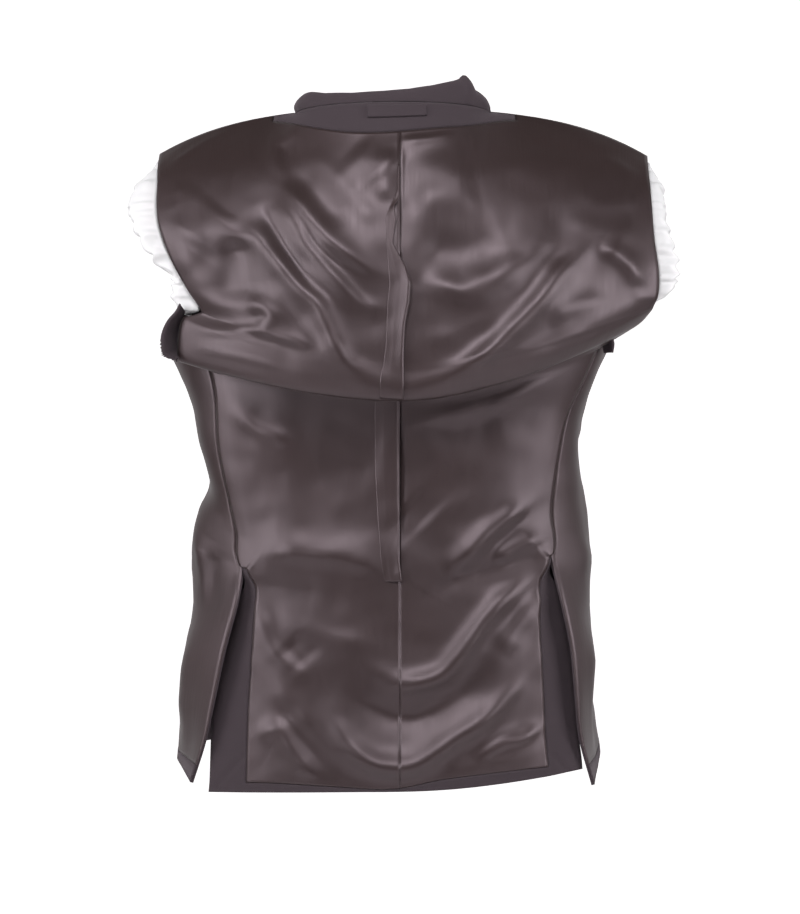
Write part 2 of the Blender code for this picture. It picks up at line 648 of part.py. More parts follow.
def build_trim(back, back_n):
    """Hanger loop on the neck facing, and the ease pleat down the lining's centre back."""
    starts = row_starts(STEPS_BELOW_BACK_ROW)
    middle = BACK_COLUMNS
    neck_row = starts[1]
    left_share = NECK_POINT_LEFT / NECK_COLUMN
    right_share = NECK_POINT_RIGHT / NECK_COLUMN
    columns = [middle + LOOP_LEFT / left_share, middle - 1, middle - 0.5, middle,
               middle + 0.5, middle + LOOP_RIGHT / right_share]
    rows = [neck_row * LOOP_TOP, neck_row * (LOOP_TOP + LOOP_FOOT) / 2, neck_row * LOOP_FOOT]
    lift = HALF_GAP + FACING_THICK + LOOP_LIFT
    grid, normals = sampled(back, back_n, rows, columns, lift)
    mask = np.ones((len(rows) - 1, len(columns) - 1), bool)
    wall("hanger_loop", grid, normals, mask, False, 0.0, LOOP_THICK, WOOL_COLOUR, inset=0.0)
    lift = HALF_GAP + LINING_THICK + PLEAT_LIFT
    columns = [middle + PLEAT_LEFT, middle + (PLEAT_LEFT + PLEAT_RIGHT) / 2, middle + PLEAT_RIGHT]
    pleats = (
        ("pleat_upper", PLEAT_TOP_ROW, FOLD_EDGE_ROW - 1),
        ("pleat_lower", FOLD_EXIT_ROW + 1, VENT_ROW),
    )
    for name, first, last in pleats:
        rows = list(range(starts[first], starts[last] + 1))
        grid, normals = sampled(back, back_n, rows, columns, lift)
        mask = np.ones((len(rows) - 1, len(columns) - 1), bool)
        wall(name, grid, normals, mask, False, 0.0, LINING_THICK, LINING_COLOUR, 0.4, inset=0.0)


def armhole_ring(side, back, front, top_rows):
    """Armhole edge points from the shoulder tip down the back, under, and up the front."""
    starts = row_starts(STEPS_BELOW_BACK_ROW)
    column = 0 if side < 0 else 2 * BACK_COLUMNS
    ring = [back[i, column] for i in range(0, starts[FOLD_EDGE_ROW - 1] + 1)]
    foot = [front[top_rows, c] for c in range(FRONT_COLUMNS + SIDE_COLUMNS - 1, FRONT_COLUMNS, -1)]
    rise = [front[i, FRONT_COLUMNS] for i in range(top_rows, 0, -1)]
    corner = ring[-1]
    down = ring[:-1:2]
    if np.linalg.norm(down[-1] - corner) < RING_MIN_STEP:
        down = down[:-1]
    points = np.array(down + [corner, (corner + foot[0]) / 2] + foot + rise[::2])
    for _ in range(RING_EASE):
        points[:, 0] = (np.roll(points[:, 0], 1) + 2 * points[:, 0] + np.roll(points[:, 0], -1)) / 4
    return points


def eased(ring, toward):
    """The armhole as a plain round, for the rows of the sleeve that lie within it."""
    turn = np.arctan2(toward[:, 1], toward[:, 0])
    waves = np.stack([np.ones(len(turn)), np.cos(turn), np.sin(turn), np.cos(2 * turn), np.sin(2 * turn)], axis=1)
    fit, *_ = np.linalg.lstsq(waves, ring, rcond=None)
    return waves @ fit


def sleeve_grid(side, ring, mouth_inset, tube_inset, puff):
    """Rows of the sleeve from the mouth down to the cuff; the lining first swells outward."""
    centre = ring.mean(axis=0)
    flat = ring[:, 1:] - centre[1:]
    radius = np.linalg.norm(flat, axis=1)
    toward = flat / radius[:, None]
    plain = eased(ring, toward)

    def moved(inset, out, ease=0.0):
        points = ring * (1 - ease) + plain * ease
        points[:, 1:] -= toward * np.minimum(inset, radius * 0.6)[:, None]
        reach = np.abs(points[:, 0]) + out
        at_edge = np.abs(ring[:, 0])
        bound = np.maximum(reach, at_edge + out * 0.8)
        points[:, 0] = side * np.where(out >= 0, bound, np.minimum(reach, at_edge - 7.0))
        return points

    rows = []
    if puff > 0:
        swell = puff * (1 - 0.5 * np.clip(toward[:, 1], 0, 1) ** 2)
        rows.append(moved(np.full(len(ring), mouth_inset), 0.6))
        rows.append(moved(np.full(len(ring), mouth_inset * 0.9), swell * 0.62))
        rows.append(moved(np.full(len(ring), mouth_inset + 7.0), swell, 0.3))
        rows.append(moved(np.full(len(ring), mouth_inset + 16.0), swell * 0.7, 0.55))
    else:
        rows.append(moved(np.full(len(ring), mouth_inset), 0.0))
        rows.append(moved(np.full(len(ring), mouth_inset + 9.0), -9.0, 0.55))
    half_width = TUBE_HALF_WIDTH - tube_inset
    half_depth = TUBE_HALF_DEPTH - tube_inset
    base = rows[-1]
    target = np.zeros_like(ring)
    target[:, 0] = side * (TUBE_CENTRE - half_width * toward[:, 1])
    target[:, 1] = half_depth * toward[:, 0]
    target[:, 2] = SLEEVE_TOP
    for k in range(1, 5):
        t = k / 4
        drop = np.minimum(60.0, (base[:, 2] - SLEEVE_TOP) * 0.6)
        step_in = np.minimum(34.0, 0.6 * np.abs(base[:, 0] - target[:, 0]))
        inner = base + np.stack([-side * step_in, -toward[:, 0] * 6, -drop * 0.25], axis=1)
        above = target + np.stack([np.zeros(len(ring)), np.zeros(len(ring)), drop], axis=1)
        rows.append((1 - t) ** 3 * base + 3 * (1 - t) ** 2 * t * inner
                    + 3 * (1 - t) * t ** 2 * above + t ** 3 * target)
    for k in range(1, 4):
        t = k / 3
        down = target.copy()
        down[:, 2] = SLEEVE_TOP + (SLEEVE_CUFF - SLEEVE_TOP) * t
        narrow = 1 - 0.12 * t
        down[:, 1] = target[:, 1] * narrow + 6 * t
        rows.append(down)
    return np.array(rows)


def build_sleeves(back, fronts, top_rows):
    """Wool sleeve and white sleeve lining on each side."""
    for word, side, puff in (("left", -1, PUFF_LEFT), ("right", 1, PUFF_RIGHT)):
        ring = armhole_ring(side, back, fronts[word][0], top_rows)
        flip = side > 0
        shell = sleeve_grid(side, ring, SLEEVE_MOUTH_INSET, 0.0, 0.0)
        normals = grid_normals(shell, flip=flip, ring=True)
        mask = np.ones((shell.shape[0] - 1, shell.shape[1]), bool)
        half = WOOL_THICK / 2
        wall("sleeve_" + word, shell, normals, mask, flip, -half, half, WOOL_COLOUR, inset=0.0, ring=True)
        puffed = sleeve_grid(side, ring, LINING_MOUTH_INSET, TUBE_LINING_INSET, puff)
        inner = np.concatenate([puffed[:4], shell[1:] + normals[1:] * TUBE_LINING_INSET])
        normals = grid_normals(inner, flip=flip, ring=True)
        mask = np.ones((inner.shape[0] - 1, inner.shape[1]), bool)
        half = SLEEVE_LINING_THICK / 2
        wall("sleeve_lining_" + word, inner, normals, mask, flip, -half, half,
             SLEEVE_LINING_COLOUR, 0.6, inset=0.0, ring=True)


back_surface, back_outward, front_parts, top_count = build_body()
build_collar(back_surface, back_outward, front_parts)
build_lapels(front_parts)
build_trim(back_surface, back_outward)
build_sleeves(back_surface, front_parts, top_count)
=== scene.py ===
import bpy
import math
import numpy as np
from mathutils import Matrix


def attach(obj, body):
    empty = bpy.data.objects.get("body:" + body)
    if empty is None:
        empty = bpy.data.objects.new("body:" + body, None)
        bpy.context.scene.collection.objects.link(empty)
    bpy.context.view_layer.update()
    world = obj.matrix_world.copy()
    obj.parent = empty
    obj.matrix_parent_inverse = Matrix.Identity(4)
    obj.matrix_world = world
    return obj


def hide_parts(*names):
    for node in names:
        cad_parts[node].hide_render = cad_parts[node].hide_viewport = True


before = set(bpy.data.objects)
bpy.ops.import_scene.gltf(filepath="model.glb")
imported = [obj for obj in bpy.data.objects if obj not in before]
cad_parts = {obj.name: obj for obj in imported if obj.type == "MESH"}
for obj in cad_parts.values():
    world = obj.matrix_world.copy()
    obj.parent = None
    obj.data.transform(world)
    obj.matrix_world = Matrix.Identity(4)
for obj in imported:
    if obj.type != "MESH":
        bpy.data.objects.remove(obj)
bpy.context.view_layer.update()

mm = 0.001
tiny = 1e-9
print("frame loaded")


# Camera: square to the back, level with the middle of the jacket.
cameraSizes = {"distance": 2.4, "height": -0.3135, "lens": 107.53, "sensor": 36.0}
cameraData = bpy.data.cameras.new("camera")
cameraData.lens = cameraSizes["lens"]
cameraData.sensor_fit = "HORIZONTAL"
cameraData.sensor_width = cameraSizes["sensor"]
camera = bpy.data.objects.new("camera", cameraData)
camera.location = (0.0, -cameraSizes["distance"], cameraSizes["height"])
camera.rotation_euler = (math.radians(90.0), 0.0, 0.0)
bpy.context.scene.collection.objects.link(camera)
bpy.context.scene.camera = camera


# Cloth sizes in millimetres, the same as the CAD model's.
cloth = {"wool": 1.6, "lining": 1.0, "facing": 1.25, "halfGap": 0.15, "collar": 3.1, "sleeveLining": 1.0}

fine = 7   # fine steps that stand for one step of the CAD grid
backColumns = 10
neckColumn = 4
ventColumn = 8
frontColumns = 6
sideColumns = 4
facingColumns = 2
neckPoint = {-1: 0.425, 1: 0.353}

# Back sections from the shoulder seam to the hem.
backRows = [
    # centre height, centre depth, left x, y, z, right x, y, z, neck share
    (30.4, -85, -241.3, 2, -9.9, 248.3, 2, -11.9, 1.0),         # neck and shoulder seam
    (-0.3, -97, -240.8, -22, -24.9, 246.8, -22, -28.9, 0.7),    # foot of neck facing
    (-34.1, -114, -238.8, -42, -41.1, 246.4, -45, -50.4, 0.35),
    (-74.1, -130, -238.0, -60, -65.7, 246.6, -62, -76.7, 0.1),
    (-113.1, -141, -233.7, -73, -90.5, 247.3, -74, -103.2, 0.0),
    (-151.4, -148, -222.1, -82, -120.5, 250.3, -82, -130.2, 0.0),
    (-189.3, -152, -206.3, -86, -149.8, 250.1, -84, -154.5, 0.0),
    (-227.1, -155, -191.5, -88, -174.2, 245.4, -82, -167.0, 0.0),
    (-233.5, -155.4, -209.5, -82, -178.0, 244.9, -81.2, -168.3, 0.0),   # strip under the left armhole
    (-248.7, -156, -214.7, -80, -196.0, 242.8, -79, -171.7, 0.0),
    (-260.8, -150, -214.9, -76, -219.2, 233.6, -74, -182.2, 0.0),   # edge of the overhang
    (-252.9, -136, -198.7, -72, -217.0, 219.5, -75, -191.5, 0.0),
    (-244.0, -124, -187.2, -69, -217.5, 204.0, -76, -201.0, 0.0),
    (-257.1, -116, -180.2, -72, -231.5, 192.0, -76, -209.0, 0.0),   # out from under the overhang
    (-282.8, -111, -177.0, -76, -253.2, 181.1, -76, -230.7, 0.0),
    (-321.2, -107, -174.0, -77, -306.7, 161.4, -77, -270.7, 0.0),
    (-364.3, -108, -163.2, -79, -358.2, 148.5, -80, -324.2, 0.0),   # waist
    (-397.8, -112, -154.2, -82, -391.1, 142.5, -83, -367.8, 0.0),
    (-432.9, -117, -152.1, -85, -421.0, 145.7, -86, -409.4, 0.0),   # top of the vents
    (-449.5, -118.5, -150.0, -83.5, -437.5, 144.5, -85, -426.5, 0.0),
    (-466.2, -120, -159.0, -81, -458.2, 157.0, -83, -448.3, 0.0),
    (-506.9, -124, -175.5, -82, -502.7, 167.0, -85, -492.8, 0.0),
    (-549.3, -128, -181.1, -86, -548.8, 170.3, -88, -538.9, 0.0),
    (-589.7, -132, -182.7, -90, -596.8, 171.9, -92, -579.1, 0.0),
    (-620.6, -135, -183.4, -93, -624.4, 174.6, -95, -602.9, 0.0),   # foot of the lining
    (-630.9, -136, -184.3, -94, -636.8, 175.5, -96, -614.3, 0.0),   # hem
]
backSteps = [fine * n for n in (2, 2, 2, 2, 2, 2, 2)] + [2, fine - 2]
backSteps += [fine * n for n in (1, 1, 1, 1, 1, 2, 2, 2, 2, 1, 1, 2, 2, 2, 2, 1)]
foldEdge, foldExit, ventRow, liningFoot = 10, 13, 18, 24

# Front sections above the armhole foot: roll line x, y, z, armhole edge x, y, z.
frontUpperRows = [
    (98, 18, 20, 241, 30, -32),
    (92, 48, -2, 236, 50, -62),
    (82, 74, -38, 231, 60, -98),
    (70, 96, -88, 227, 56, -138),
    (56, 110, -145, 222, 46, -172),
]
upperSteps = [2 * fine] * 6

# Front sections below it: front edge x, y, z, bend to the side x, y, z.
frontLowerRows = [
    (42, 116, -205, 206, 46, -205),
    (32, 117, -248, 186, 55, -246),
    (22, 116, -293, 172, 57, -292),
    (13, 113, -343, 165, 56, -340),
    (8, 112, -384, 168, 56, -382),
    (7, 112, -425, 173, 57, -424),
    (9, 113, -468, 177, 58, -466),
    (13, 115, -512, 182, 60, -511),
    (20, 117, -552, 186, 62, -556),
    (33, 119, -580, 189, 63, -580),
    (58, 120, -602, 191, 63, -604),
]
lowerSteps = [fine * n for n in (1, 2, 2, 2, 2, 1, 1, 1, 1, 1)]
rowNames = {1: 14, 2: 15, 3: 16, 4: 17, 5: 18}   # front section to back section, above the vent

# Widest line of each side: depth, left x, left z, right x, right z.
sideRows = [
    (2, -238.2, -205.9, 210.1, -205.9),
    (-4, -211.6, -248.3, 185.5, -248.3),
    (-6, -201.4, -288.5, 176.3, -290.5),
    (-6, -192.4, -330.5, 179.3, -330.5),
    (-6, -197.4, -363.6, 187.4, -366.6),
    (-8, -202.2, -401.6, 190.2, -404.6),
    (-12, -202.9, -458.4, 188.9, -460.4),
    (-16, -212.5, -506.1, 189.6, -511.0),
    (-18, -216.3, -560.7, 186.4, -560.7),
    (-18, -218.3, -591.6, 191.4, -593.6),
    (-18, -220.3, -615.5, 196.4, -619.5),
]

# Free edge of the flap in front of each vent: left x, y, z, right x, y, z.
flapRows = {
    6: (-156.2, -99, -451.4, 155.2, -101, -451.3),
    7: (-168.4, -104, -499.2, 164.5, -105, -497.3),
    8: (-179.0, -103, -547.4, 169.3, -106, -547.3),
    9: (-187.9, -101, -587.2, 173.3, -105, -584.1),
    10: (-201.1, -95, -627.7, 186.0, -100, -629.3),
}

# Where seams leave the even grid of the back, in fine steps, or CAD columns for the vents.
ventReach = 2.5   # how many CAD columns inside a vent facing give way to its edge
seamLines = {
    # columns from the centre, rows below the even seam
    "facingFoot": [(-62, -52, -39, -35, -30, -26, -22, -18, -14, -10, -6, -2, 2, 6, 10, 14, 18, 22, 26, 30,
                    35, 39, 52, 62),
                   (0, -4, -13.2, -13.4, -8.4, -5.6, -3.6, -0.9, 0.3, 0.5, 0.5, 0.4, -0.4, -1.1, -1.8, -2.6,
                    -3.1, -3.9, -5.7, -9.0, -13.4, -13.2, -4, 0)],
    "liningFoot": [(-70, -56, -42, -35, -28, -21, -14, -7, 0, 7, 14, 21, 35, 49, 63, 70),
                   (1.9, 0.8, 1.0, 1.5, 2.0, 2.8, 4.0, 5.4, 5.2, 1.8, 0.3, -0.1, -0.8, 0.1, 1.9, 3.4)],
    # rows below the vent's top, columns from the centre
    "ventLeft": [(-14, 0, 5, 12, 19, 26, 33, 80), (8, 9.7, 9.4, 8.9, 8.48, 8.09, 7.93, 7.93)],
    "ventRight": [(-14, 0, 5, 12, 19, 26, 33, 80), (8, 9.9, 9.7, 8.85, 8.45, 8.26, 8.22, 8.25)],
}

# Folds and creases of the back, in millimetres, by zone and name.
folds = {
    # stands out, width above or to the right, width below or to the left, line (across, height)
    "upper": {
        "left ridge nearest the neck":
            (7, 16, 7, [(-127, -46), (-115, -53), (-98, -69), (-83, -89), (-66, -109), (-44, -126),
             (-25, -137), (-9, -142)]),
        "left second ridge":
            (5, 6, 12, [(-123, -57), (-112, -72), (-98, -93), (-88, -114), (-69, -136), (-50, -157),
             (-36, -169), (-14, -176)]),
        "left long ridge":
            (8, 8, 14, [(-153, -89), (-140, -98), (-127, -115), (-111, -134), (-95, -154), (-78, -170),
             (-69, -188), (-59, -211), (-47, -229), (-25, -238), (-13, -240)]),
        "left valley": (-4, 8, 8, [(-137, -67), (-119, -97), (-100, -129), (-85, -156)]),
        "cone hollow": (-4, 16, 16, [(-156, -98), (-162, -127), (-168, -171)]),
        "cone hollow right": (-3, 14, 14, [(-154, -98), (-148, -130), (-141, -168)]),
        "shoulder swell": (4, 26, 26, [(-169, -70), (-188, -93), (-203, -114)]),
        "hollow below the facing": (-3, 14, 14, [(-105, -31), (-78, -68), (-52, -103)]),
        "swell by the pleat": (3, 20, 20, [(-48, -18), (-29, -34), (-14, -51)]),
        "tuck at the neck":
            (2.5, 6, 12, [(-83, 9), (-95, 8), (-102, 8), (-107, 1), (-114, -5), (-121, -8), (-122, -20),
             (-118, -35), (-106, -52)]),
        "armhole pucker": (1, 6, 6, [(-237, -58), (-225, -56), (-210, -51)]),
        "armhole pucker, low": (1, 6, 7, [(-237, -74), (-226, -72), (-212, -67)]),
        "shoulder ridge": (3, 3, 5, [(-238, -14), (-210, 2), (-188, 13)]),
        "shoulder ridge low": (2, 4, 5, [(-233, -31), (-199, -3), (-162, 17)]),
        "notch ridge":
            (3, 6, 7, [(-150, -172), (-137, -169), (-127, -173), (-123, -182), (-131, -189),
             (-143, -190)]),
        "band ridge": (3, 5, 5, [(-211, -186), (-178, -192), (-143, -193), (-109, -201), (-75, -214)]),
        "band ridge low": (2, 5, 5, [(-213, -205), (-173, -213), (-133, -221), (-94, -236)]),
        "right short ridge":
            (5, 12, 12, [(16, -142), (35, -149), (57, -156), (76, -148), (95, -137), (117, -117)]),
        "right second ridge": (3, 10, 12, [(47, -168), (75, -163), (99, -146), (123, -125), (141, -102)]),
        "right long ridge":
            (9, 9, 18, [(12, -247), (28, -242), (56, -233), (85, -214), (111, -188), (133, -165),
             (152, -139), (169, -122), (189, -108)]),
        "right armhole ridge": (6, 18, 8, [(189, -108), (209, -120), (227, -135), (240, -152)]),
        "right bulge": (3, 10, 12, [(137, -188), (157, -174), (181, -166), (203, -163)]),
        "right top hollow": (-5, 22, 24, [(9, -113), (52, -118), (100, -103)]),
        "right top swell": (4, 22, 22, [(10, -64), (43, -64), (77, -58)]),
        "tuck under the facing": (3, 3, 7, [(-2, -10), (19, -8), (39, -5), (56, 0)]),
        "right shoulder flap": (2.5, 6, 10, [(162, 19), (180, 12), (199, 2), (226, 3), (241, -2)]),
        "right shoulder crease": (2, 7, 9, [(196, -16), (218, -25), (240, -38)]),
        "right soft fold": (2, 10, 12, [(170, -49), (184, -65), (206, -69), (243, -61)]),
        "right edge crease": (1.2, 5, 5, [(222, -158), (247, -160)]),
        "left arm swell": (2, 14, 14, [(-231, -78), (-221, -108), (-205, -142)]),
        "left arm hollow": (-2, 14, 14, [(-195, -54), (-188, -100), (-178, -148)]),
        "left neck fold": (2, 10, 14, [(-97, -15), (-67, -40), (-38, -74), (-14, -108)]),
        "left lower fold": (2, 10, 14, [(-131, -155), (-109, -188), (-83, -217), (-52, -239)]),
        "left centre hollow": (-2, 14, 14, [(-52, -142), (-33, -166), (-16, -208)]),
        "right neck fold": (2, 14, 14, [(11, -29), (48, -41), (96, -42), (142, -12)]),
        "right arm fold": (2, 12, 14, [(153, -81), (183, -93), (213, -96), (239, -87)]),
        "right arm hollow": (-2, 14, 14, [(139, -67), (153, -106), (138, -141)]),
        "right low fold": (2, 10, 14, [(19, -208), (52, -199), (85, -180), (109, -156)]),
        "right band fold": (2, 10, 12, [(94, -233), (137, -212), (181, -187), (231, -162)]),
        "lip of the pleat": (3, 8, 11, [(-11, -15), (-11, -35), (-14, -55), (-13, -75)]),
        "hollow beside the pleat": (-2, 5, 6, [(5, -8), (5, -30), (4, -60), (5, -84)]),
    },
    "lower": {
        "under the overhang left":
            (2.5, 6, 9, [(-178, -230), (-160, -234), (-140, -240), (-116, -248), (-91, -255)]),
        "left waist ridge":
            (3.5, 10, 8, [(-164, -252), (-155, -270), (-140, -285), (-121, -293), (-94, -303)]),
        "left hollow": (-3, 30, 30, [(-112, -326), (-58, -316), (-13, -326)]),
        "left seat swell": (6, 30, 12, [(-145, -406), (-96, -405), (-57, -408), (-19, -418), (-4, -426)]),
        "right upper ridge":
            (4, 5, 10, [(10, -283), (38, -273), (70, -266), (103, -256), (135, -240), (170, -225)]),
        "right hollow": (-2.5, 24, 24, [(24, -302), (62, -289), (101, -283)]),
        "right swell": (1.5, 22, 22, [(14, -331), (53, -326), (116, -312), (146, -297)]),
        "hollow right of the pleat": (-2, 18, 18, [(5, -355), (29, -379)]),
        "right seat swell": (7, 14, 10, [(43, -426), (67, -403), (91, -381), (116, -365), (134, -355)]),
        "right seat trough": (-2.5, 7, 8, [(80, -415), (96, -396), (119, -371), (148, -348)]),
        "right low swell": (4, 10, 6, [(86, -417), (111, -401), (143, -389)]),
        "right low trough": (-2.5, 9, 9, [(16, -450), (55, -431), (103, -417), (145, -408)]),
        "skirt swag":
            (7, 9, 9, [(-33, -509), (-19, -520), (7, -529), (38, -521), (57, -502), (74, -479),
             (93, -456), (116, -437), (140, -419)]),
        "skirt second": (3, 9, 9, [(93, -503), (110, -478), (135, -450)]),
        "skirt second trough": (-1.2, 8, 8, [(96, -489), (120, -451), (143, -428)]),
        "low swag":
            (8, 12, 9, [(-88, -561), (-74, -562), (-60, -569), (-45, -589), (-26, -603), (0, -608),
             (22, -601), (50, -582), (83, -561), (108, -534), (132, -509)]),
        "right hem ridge": (4, 6, 5, [(69, -605), (95, -587), (118, -581), (141, -567)]),
        "skirt left ridge":
            (3.5, 9, 13, [(-141, -447), (-133, -471), (-125, -494), (-108, -512), (-81, -528)]),
        "left hem ridge":
            (4.5, 9, 10, [(-144, -582), (-126, -576), (-114, -575), (-104, -590), (-88, -610),
             (-68, -620)]),
        "left hem trough": (-2, 9, 9, [(-132, -542), (-110, -560), (-95, -579), (-69, -603), (-57, -615)]),
        "hollow between swags": (-5, 12, 12, [(-57, -535), (0, -563), (48, -545), (96, -503)]),
        "left hollow low": (-2, 14, 14, [(-110, -489), (-87, -515)]),
        "left waist fold": (1.5, 18, 18, [(-160, -297), (-121, -312), (-67, -309), (-14, -297)]),
        "left seat upper fold": (1, 16, 18, [(-160, -355), (-106, -360), (-53, -355), (-12, -360)]),
        "right waist fold": (1.5, 18, 18, [(14, -302), (62, -309), (116, -297), (155, -273)]),
        "right seat fold": (2, 12, 14, [(14, -379), (48, -364), (87, -345), (136, -321)]),
        "left skirt fold": (2, 10, 12, [(-125, -451), (-96, -475), (-57, -488), (-10, -493)]),
        "left skirt long fold": (2, 10, 12, [(-133, -509), (-105, -546), (-71, -583), (-28, -615)]),
        "right skirt fold": (2, 10, 12, [(10, -563), (48, -545), (86, -515), (125, -475)]),
        "right skirt low fold": (2, 10, 12, [(28, -618), (71, -611), (110, -598), (139, -580)]),
        "hollow beside the pleat, lower": (-2.2, 4, 6, [(-1, -262), (0, -300), (0, -360), (-1, -412)]),
    },
}


def throughRows(rows, steps):
    # smooth curve through table rows, with so many steps below each
    rows = np.asarray(rows, float)
    padded = np.concatenate([[2 * rows[0] - rows[1]], rows, [2 * rows[-1] - rows[-2]]])
    made = []
    for i, count in enumerate(steps):
        a, b, c, d = padded[i:i + 4]
        for k in range(count):
            t = k / count
            made.append(0.5 * (2 * b + (c - a) * t + (2 * a - 5 * b + 4 * c - d) * t ** 2
                               + (3 * b - a - 3 * c + d) * t ** 3))
    made.append(rows[-1])
    return np.array(made)


def unit(vectors):
    return vectors / np.maximum(np.linalg.norm(vectors, axis=-1, keepdims=True), tiny)


def lengthAlong(line):
    return np.concatenate([[0], np.cumsum(np.linalg.norm(np.diff(line, axis=0), axis=1))])


def respaced(line, places, along):
    # points of a line at given places, where along tells how far each of its points lies
    return np.stack([np.interp(places, along, line[:, k]) for k in range(line.shape[1])], axis=1)


def rowStart(steps, row):
    # fine grid row on which a table row falls
    return sum(steps[:row])


def alongLine(points, line):
    # distance to a line of corners, which side of it, and the share of the line passed
    line = np.asarray(line, float)
    lengths = np.linalg.norm(np.diff(line, axis=0), axis=1)
    best = np.full(len(points), np.inf)
    side = np.ones(len(points))
    share = np.zeros(len(points))
    run = 0.0
    for a, b, length in zip(line[:-1], line[1:], lengths):
        t = np.clip(((points - a) @ (b - a)) / length ** 2, 0, 1)
        offset = points - (a + t[:, None] * (b - a))
        away = np.linalg.norm(offset, axis=1)
        nearer = away < best
        best[nearer] = away[nearer]
        turn = (b - a)[0] * offset[:, 1] - (b - a)[1] * offset[:, 0]
        side[nearer] = np.sign(turn)[nearer]
        share[nearer] = ((run + t * length) / lengths.sum())[nearer]
        run += length
    return best, side, share


def smoothLine(line, count=5):
    # a line of corners made into a smooth one
    if len(line) < 3:
        return line
    return throughRows(line, [count] * (len(line) - 1))


foldSize = 1.45   # makes every fold of the table deeper or shallower
foldShape = {"spread": 0.65, "crown": 0.9, "end": 0.1, "backFade": 0.3, "frontFade": 0.35}


def foldProfile(away, side, before, behind):
    # rounded ridge, 1 on the line, that falls off over its own width on each side
    width = np.where(side > 0, before, behind) * foldShape["spread"]
    crown = foldShape["crown"] * min(before, behind)
    return np.exp(-(np.sqrt(away ** 2 + crown ** 2) - crown) / width)


def foldEnds(share, fade):
    # 0 at both ends of a fold, 1 along its middle
    return np.clip(np.minimum(share, 1 - share) / fade, 0, 1)


def liftOf(flat, zone):
    # how far the folds of one zone lift the cloth at flat (across, height) points
    lift = np.zeros(len(flat))
    least = foldShape["end"]
    for height, above, below, line in folds[zone].values():
        away, side, share = alongLine(flat, smoothLine(line))
        ends = foldEnds(share, foldShape["backFade"])
        ends = least + (1 - least) * ends * ends * (3 - 2 * ends)
        lift += foldSize * height * ends * foldProfile(away, side, above, below)
    return lift


# Slight unevenness of soft cloth: heights and wave lengths in millimetres.
waves = {"back": 0.5, "front": 0.7, "backSeed": 4, "frontSeed": 11, "shortest": 20, "longest": 90,
         "count": 26}


def smallWaves(flat, seed, height):
    dice = np.random.default_rng(seed)
    total = np.zeros(len(flat))
    for length in np.geomspace(waves["shortest"], waves["longest"], waves["count"]):
        turn = dice.uniform(0, math.pi)
        bent = 9 * np.sin(flat @ dice.normal(0, 0.012, 2))
        along = flat @ np.array((math.cos(turn), math.sin(turn))) + bent
        total += np.sin(along * 2 * math.pi / length + dice.uniform(0, 6.28)) * length / 50
    return height * total / 5


def sampled(grid, rows, columns):
    # values of a grid on a regular set of rows and columns
    return resampled(grid, *np.meshgrid(rows, columns, indexing="ij"))


# How round a back section is, how deep it is set back under the neck, how its height curves outward.
backShape = {"round": 2.3, "neckDepth": 24.0, "slope": 1.7, "neckSlope": 1.6}


def backSection(row, side):
    # half of one back section, from the centre to the outer edge
    zc, yc, xl, yl, zl, xr, yr, zr, neck = row
    xo, yo, zo = (xl, yl, zl) if side < 0 else (xr, yr, zr)
    point = neckPoint[side]
    c = np.arange(backColumns * fine + 1) / fine
    u = np.where(c <= neckColumn, point * c / neckColumn,
                 point + (1 - point) * (c - neckColumn) / (backColumns - neckColumn))
    plain = yo + (yc - yo) * (1 - u ** backShape["round"])
    foot = yo - backShape["neckDepth"]
    inside = foot + (yc - foot) * np.sqrt(np.clip(1 - (u / point) ** 2, 0, 1))
    outside = foot + (yo - foot) * (u - point) / (1 - point)
    y = neck * np.where(u < point, inside, outside) + (1 - neck) * plain
    z = zc + (zo - zc) * u ** (backShape["slope"] + backShape["neckSlope"] * neck)
    return np.stack([xo * u, y, z], axis=1)


def easedSeams(grid):
    # slide the grid along the cloth so that its lines follow the foot of the neck facing,
    # the foot of the lining and the edges of the vent facings
    middle = backColumns * fine
    rows, columns = np.meshgrid(np.arange(grid.shape[0], dtype=float), np.arange(grid.shape[1], dtype=float),
                                indexing="ij")
    away = columns - middle
    held = rows
    neck, foot = rowStart(backSteps, 1), rowStart(backSteps, liningFoot)
    for line, row, first, last in ((seamLines["facingFoot"], neck, 0, neck + 3 * fine),
                                   (seamLines["liningFoot"], foot, foot - 2 * fine, foot + fine)):
        moved = row + np.interp(away, line[0], line[1])
        above = first + (rows - first) * (moved - first) / (row - first)
        below = moved + (held - row) * (last - moved) / (last - row)
        rows = np.where((rows >= first) & (rows <= row), above, rows)
        rows = np.where((held > row) & (held < last), below, rows)
    for side, line in ((-1, seamLines["ventLeft"]), (1, seamLines["ventRight"])):
        place = np.arange(grid.shape[0]) - rowStart(backSteps, ventRow)
        moved = np.interp(place, line[0], line[1])[:, None] * fine
        c = away * side
        inner, edge, outer = (ventColumn - ventReach) * fine, ventColumn * fine, backColumns * fine
        fixed = np.where(c <= edge, inner + (c - inner) * (moved - inner) / (edge - inner),
                         moved + (c - edge) * (outer - moved) / (outer - edge))
        columns = np.where((c > inner) & (c < outer), middle + side * fixed, columns)
    return resampled(grid, rows, columns)


def resampled(grid, rows, columns):
    # values of a grid at fractional rows and columns
    i = np.clip(rows.astype(int), 0, grid.shape[0] - 2)
    j = np.clip(columns.astype(int), 0, grid.shape[1] - 2)
    s, t = (rows - i)[:, :, None], (columns - j)[:, :, None]
    return ((1 - s) * (1 - t) * grid[i, j] + (1 - s) * t * grid[i, j + 1]
            + s * (1 - t) * grid[i + 1, j] + s * t * grid[i + 1, j + 1])


# How often each place is smoothed, and over how many fine rows or columns.
easing = {"neckTurns": 60, "neckRows": 14, "skirtTurns": 16, "skirtReach": 6, "seamTurns": 40,
          "ringTurns": 24}


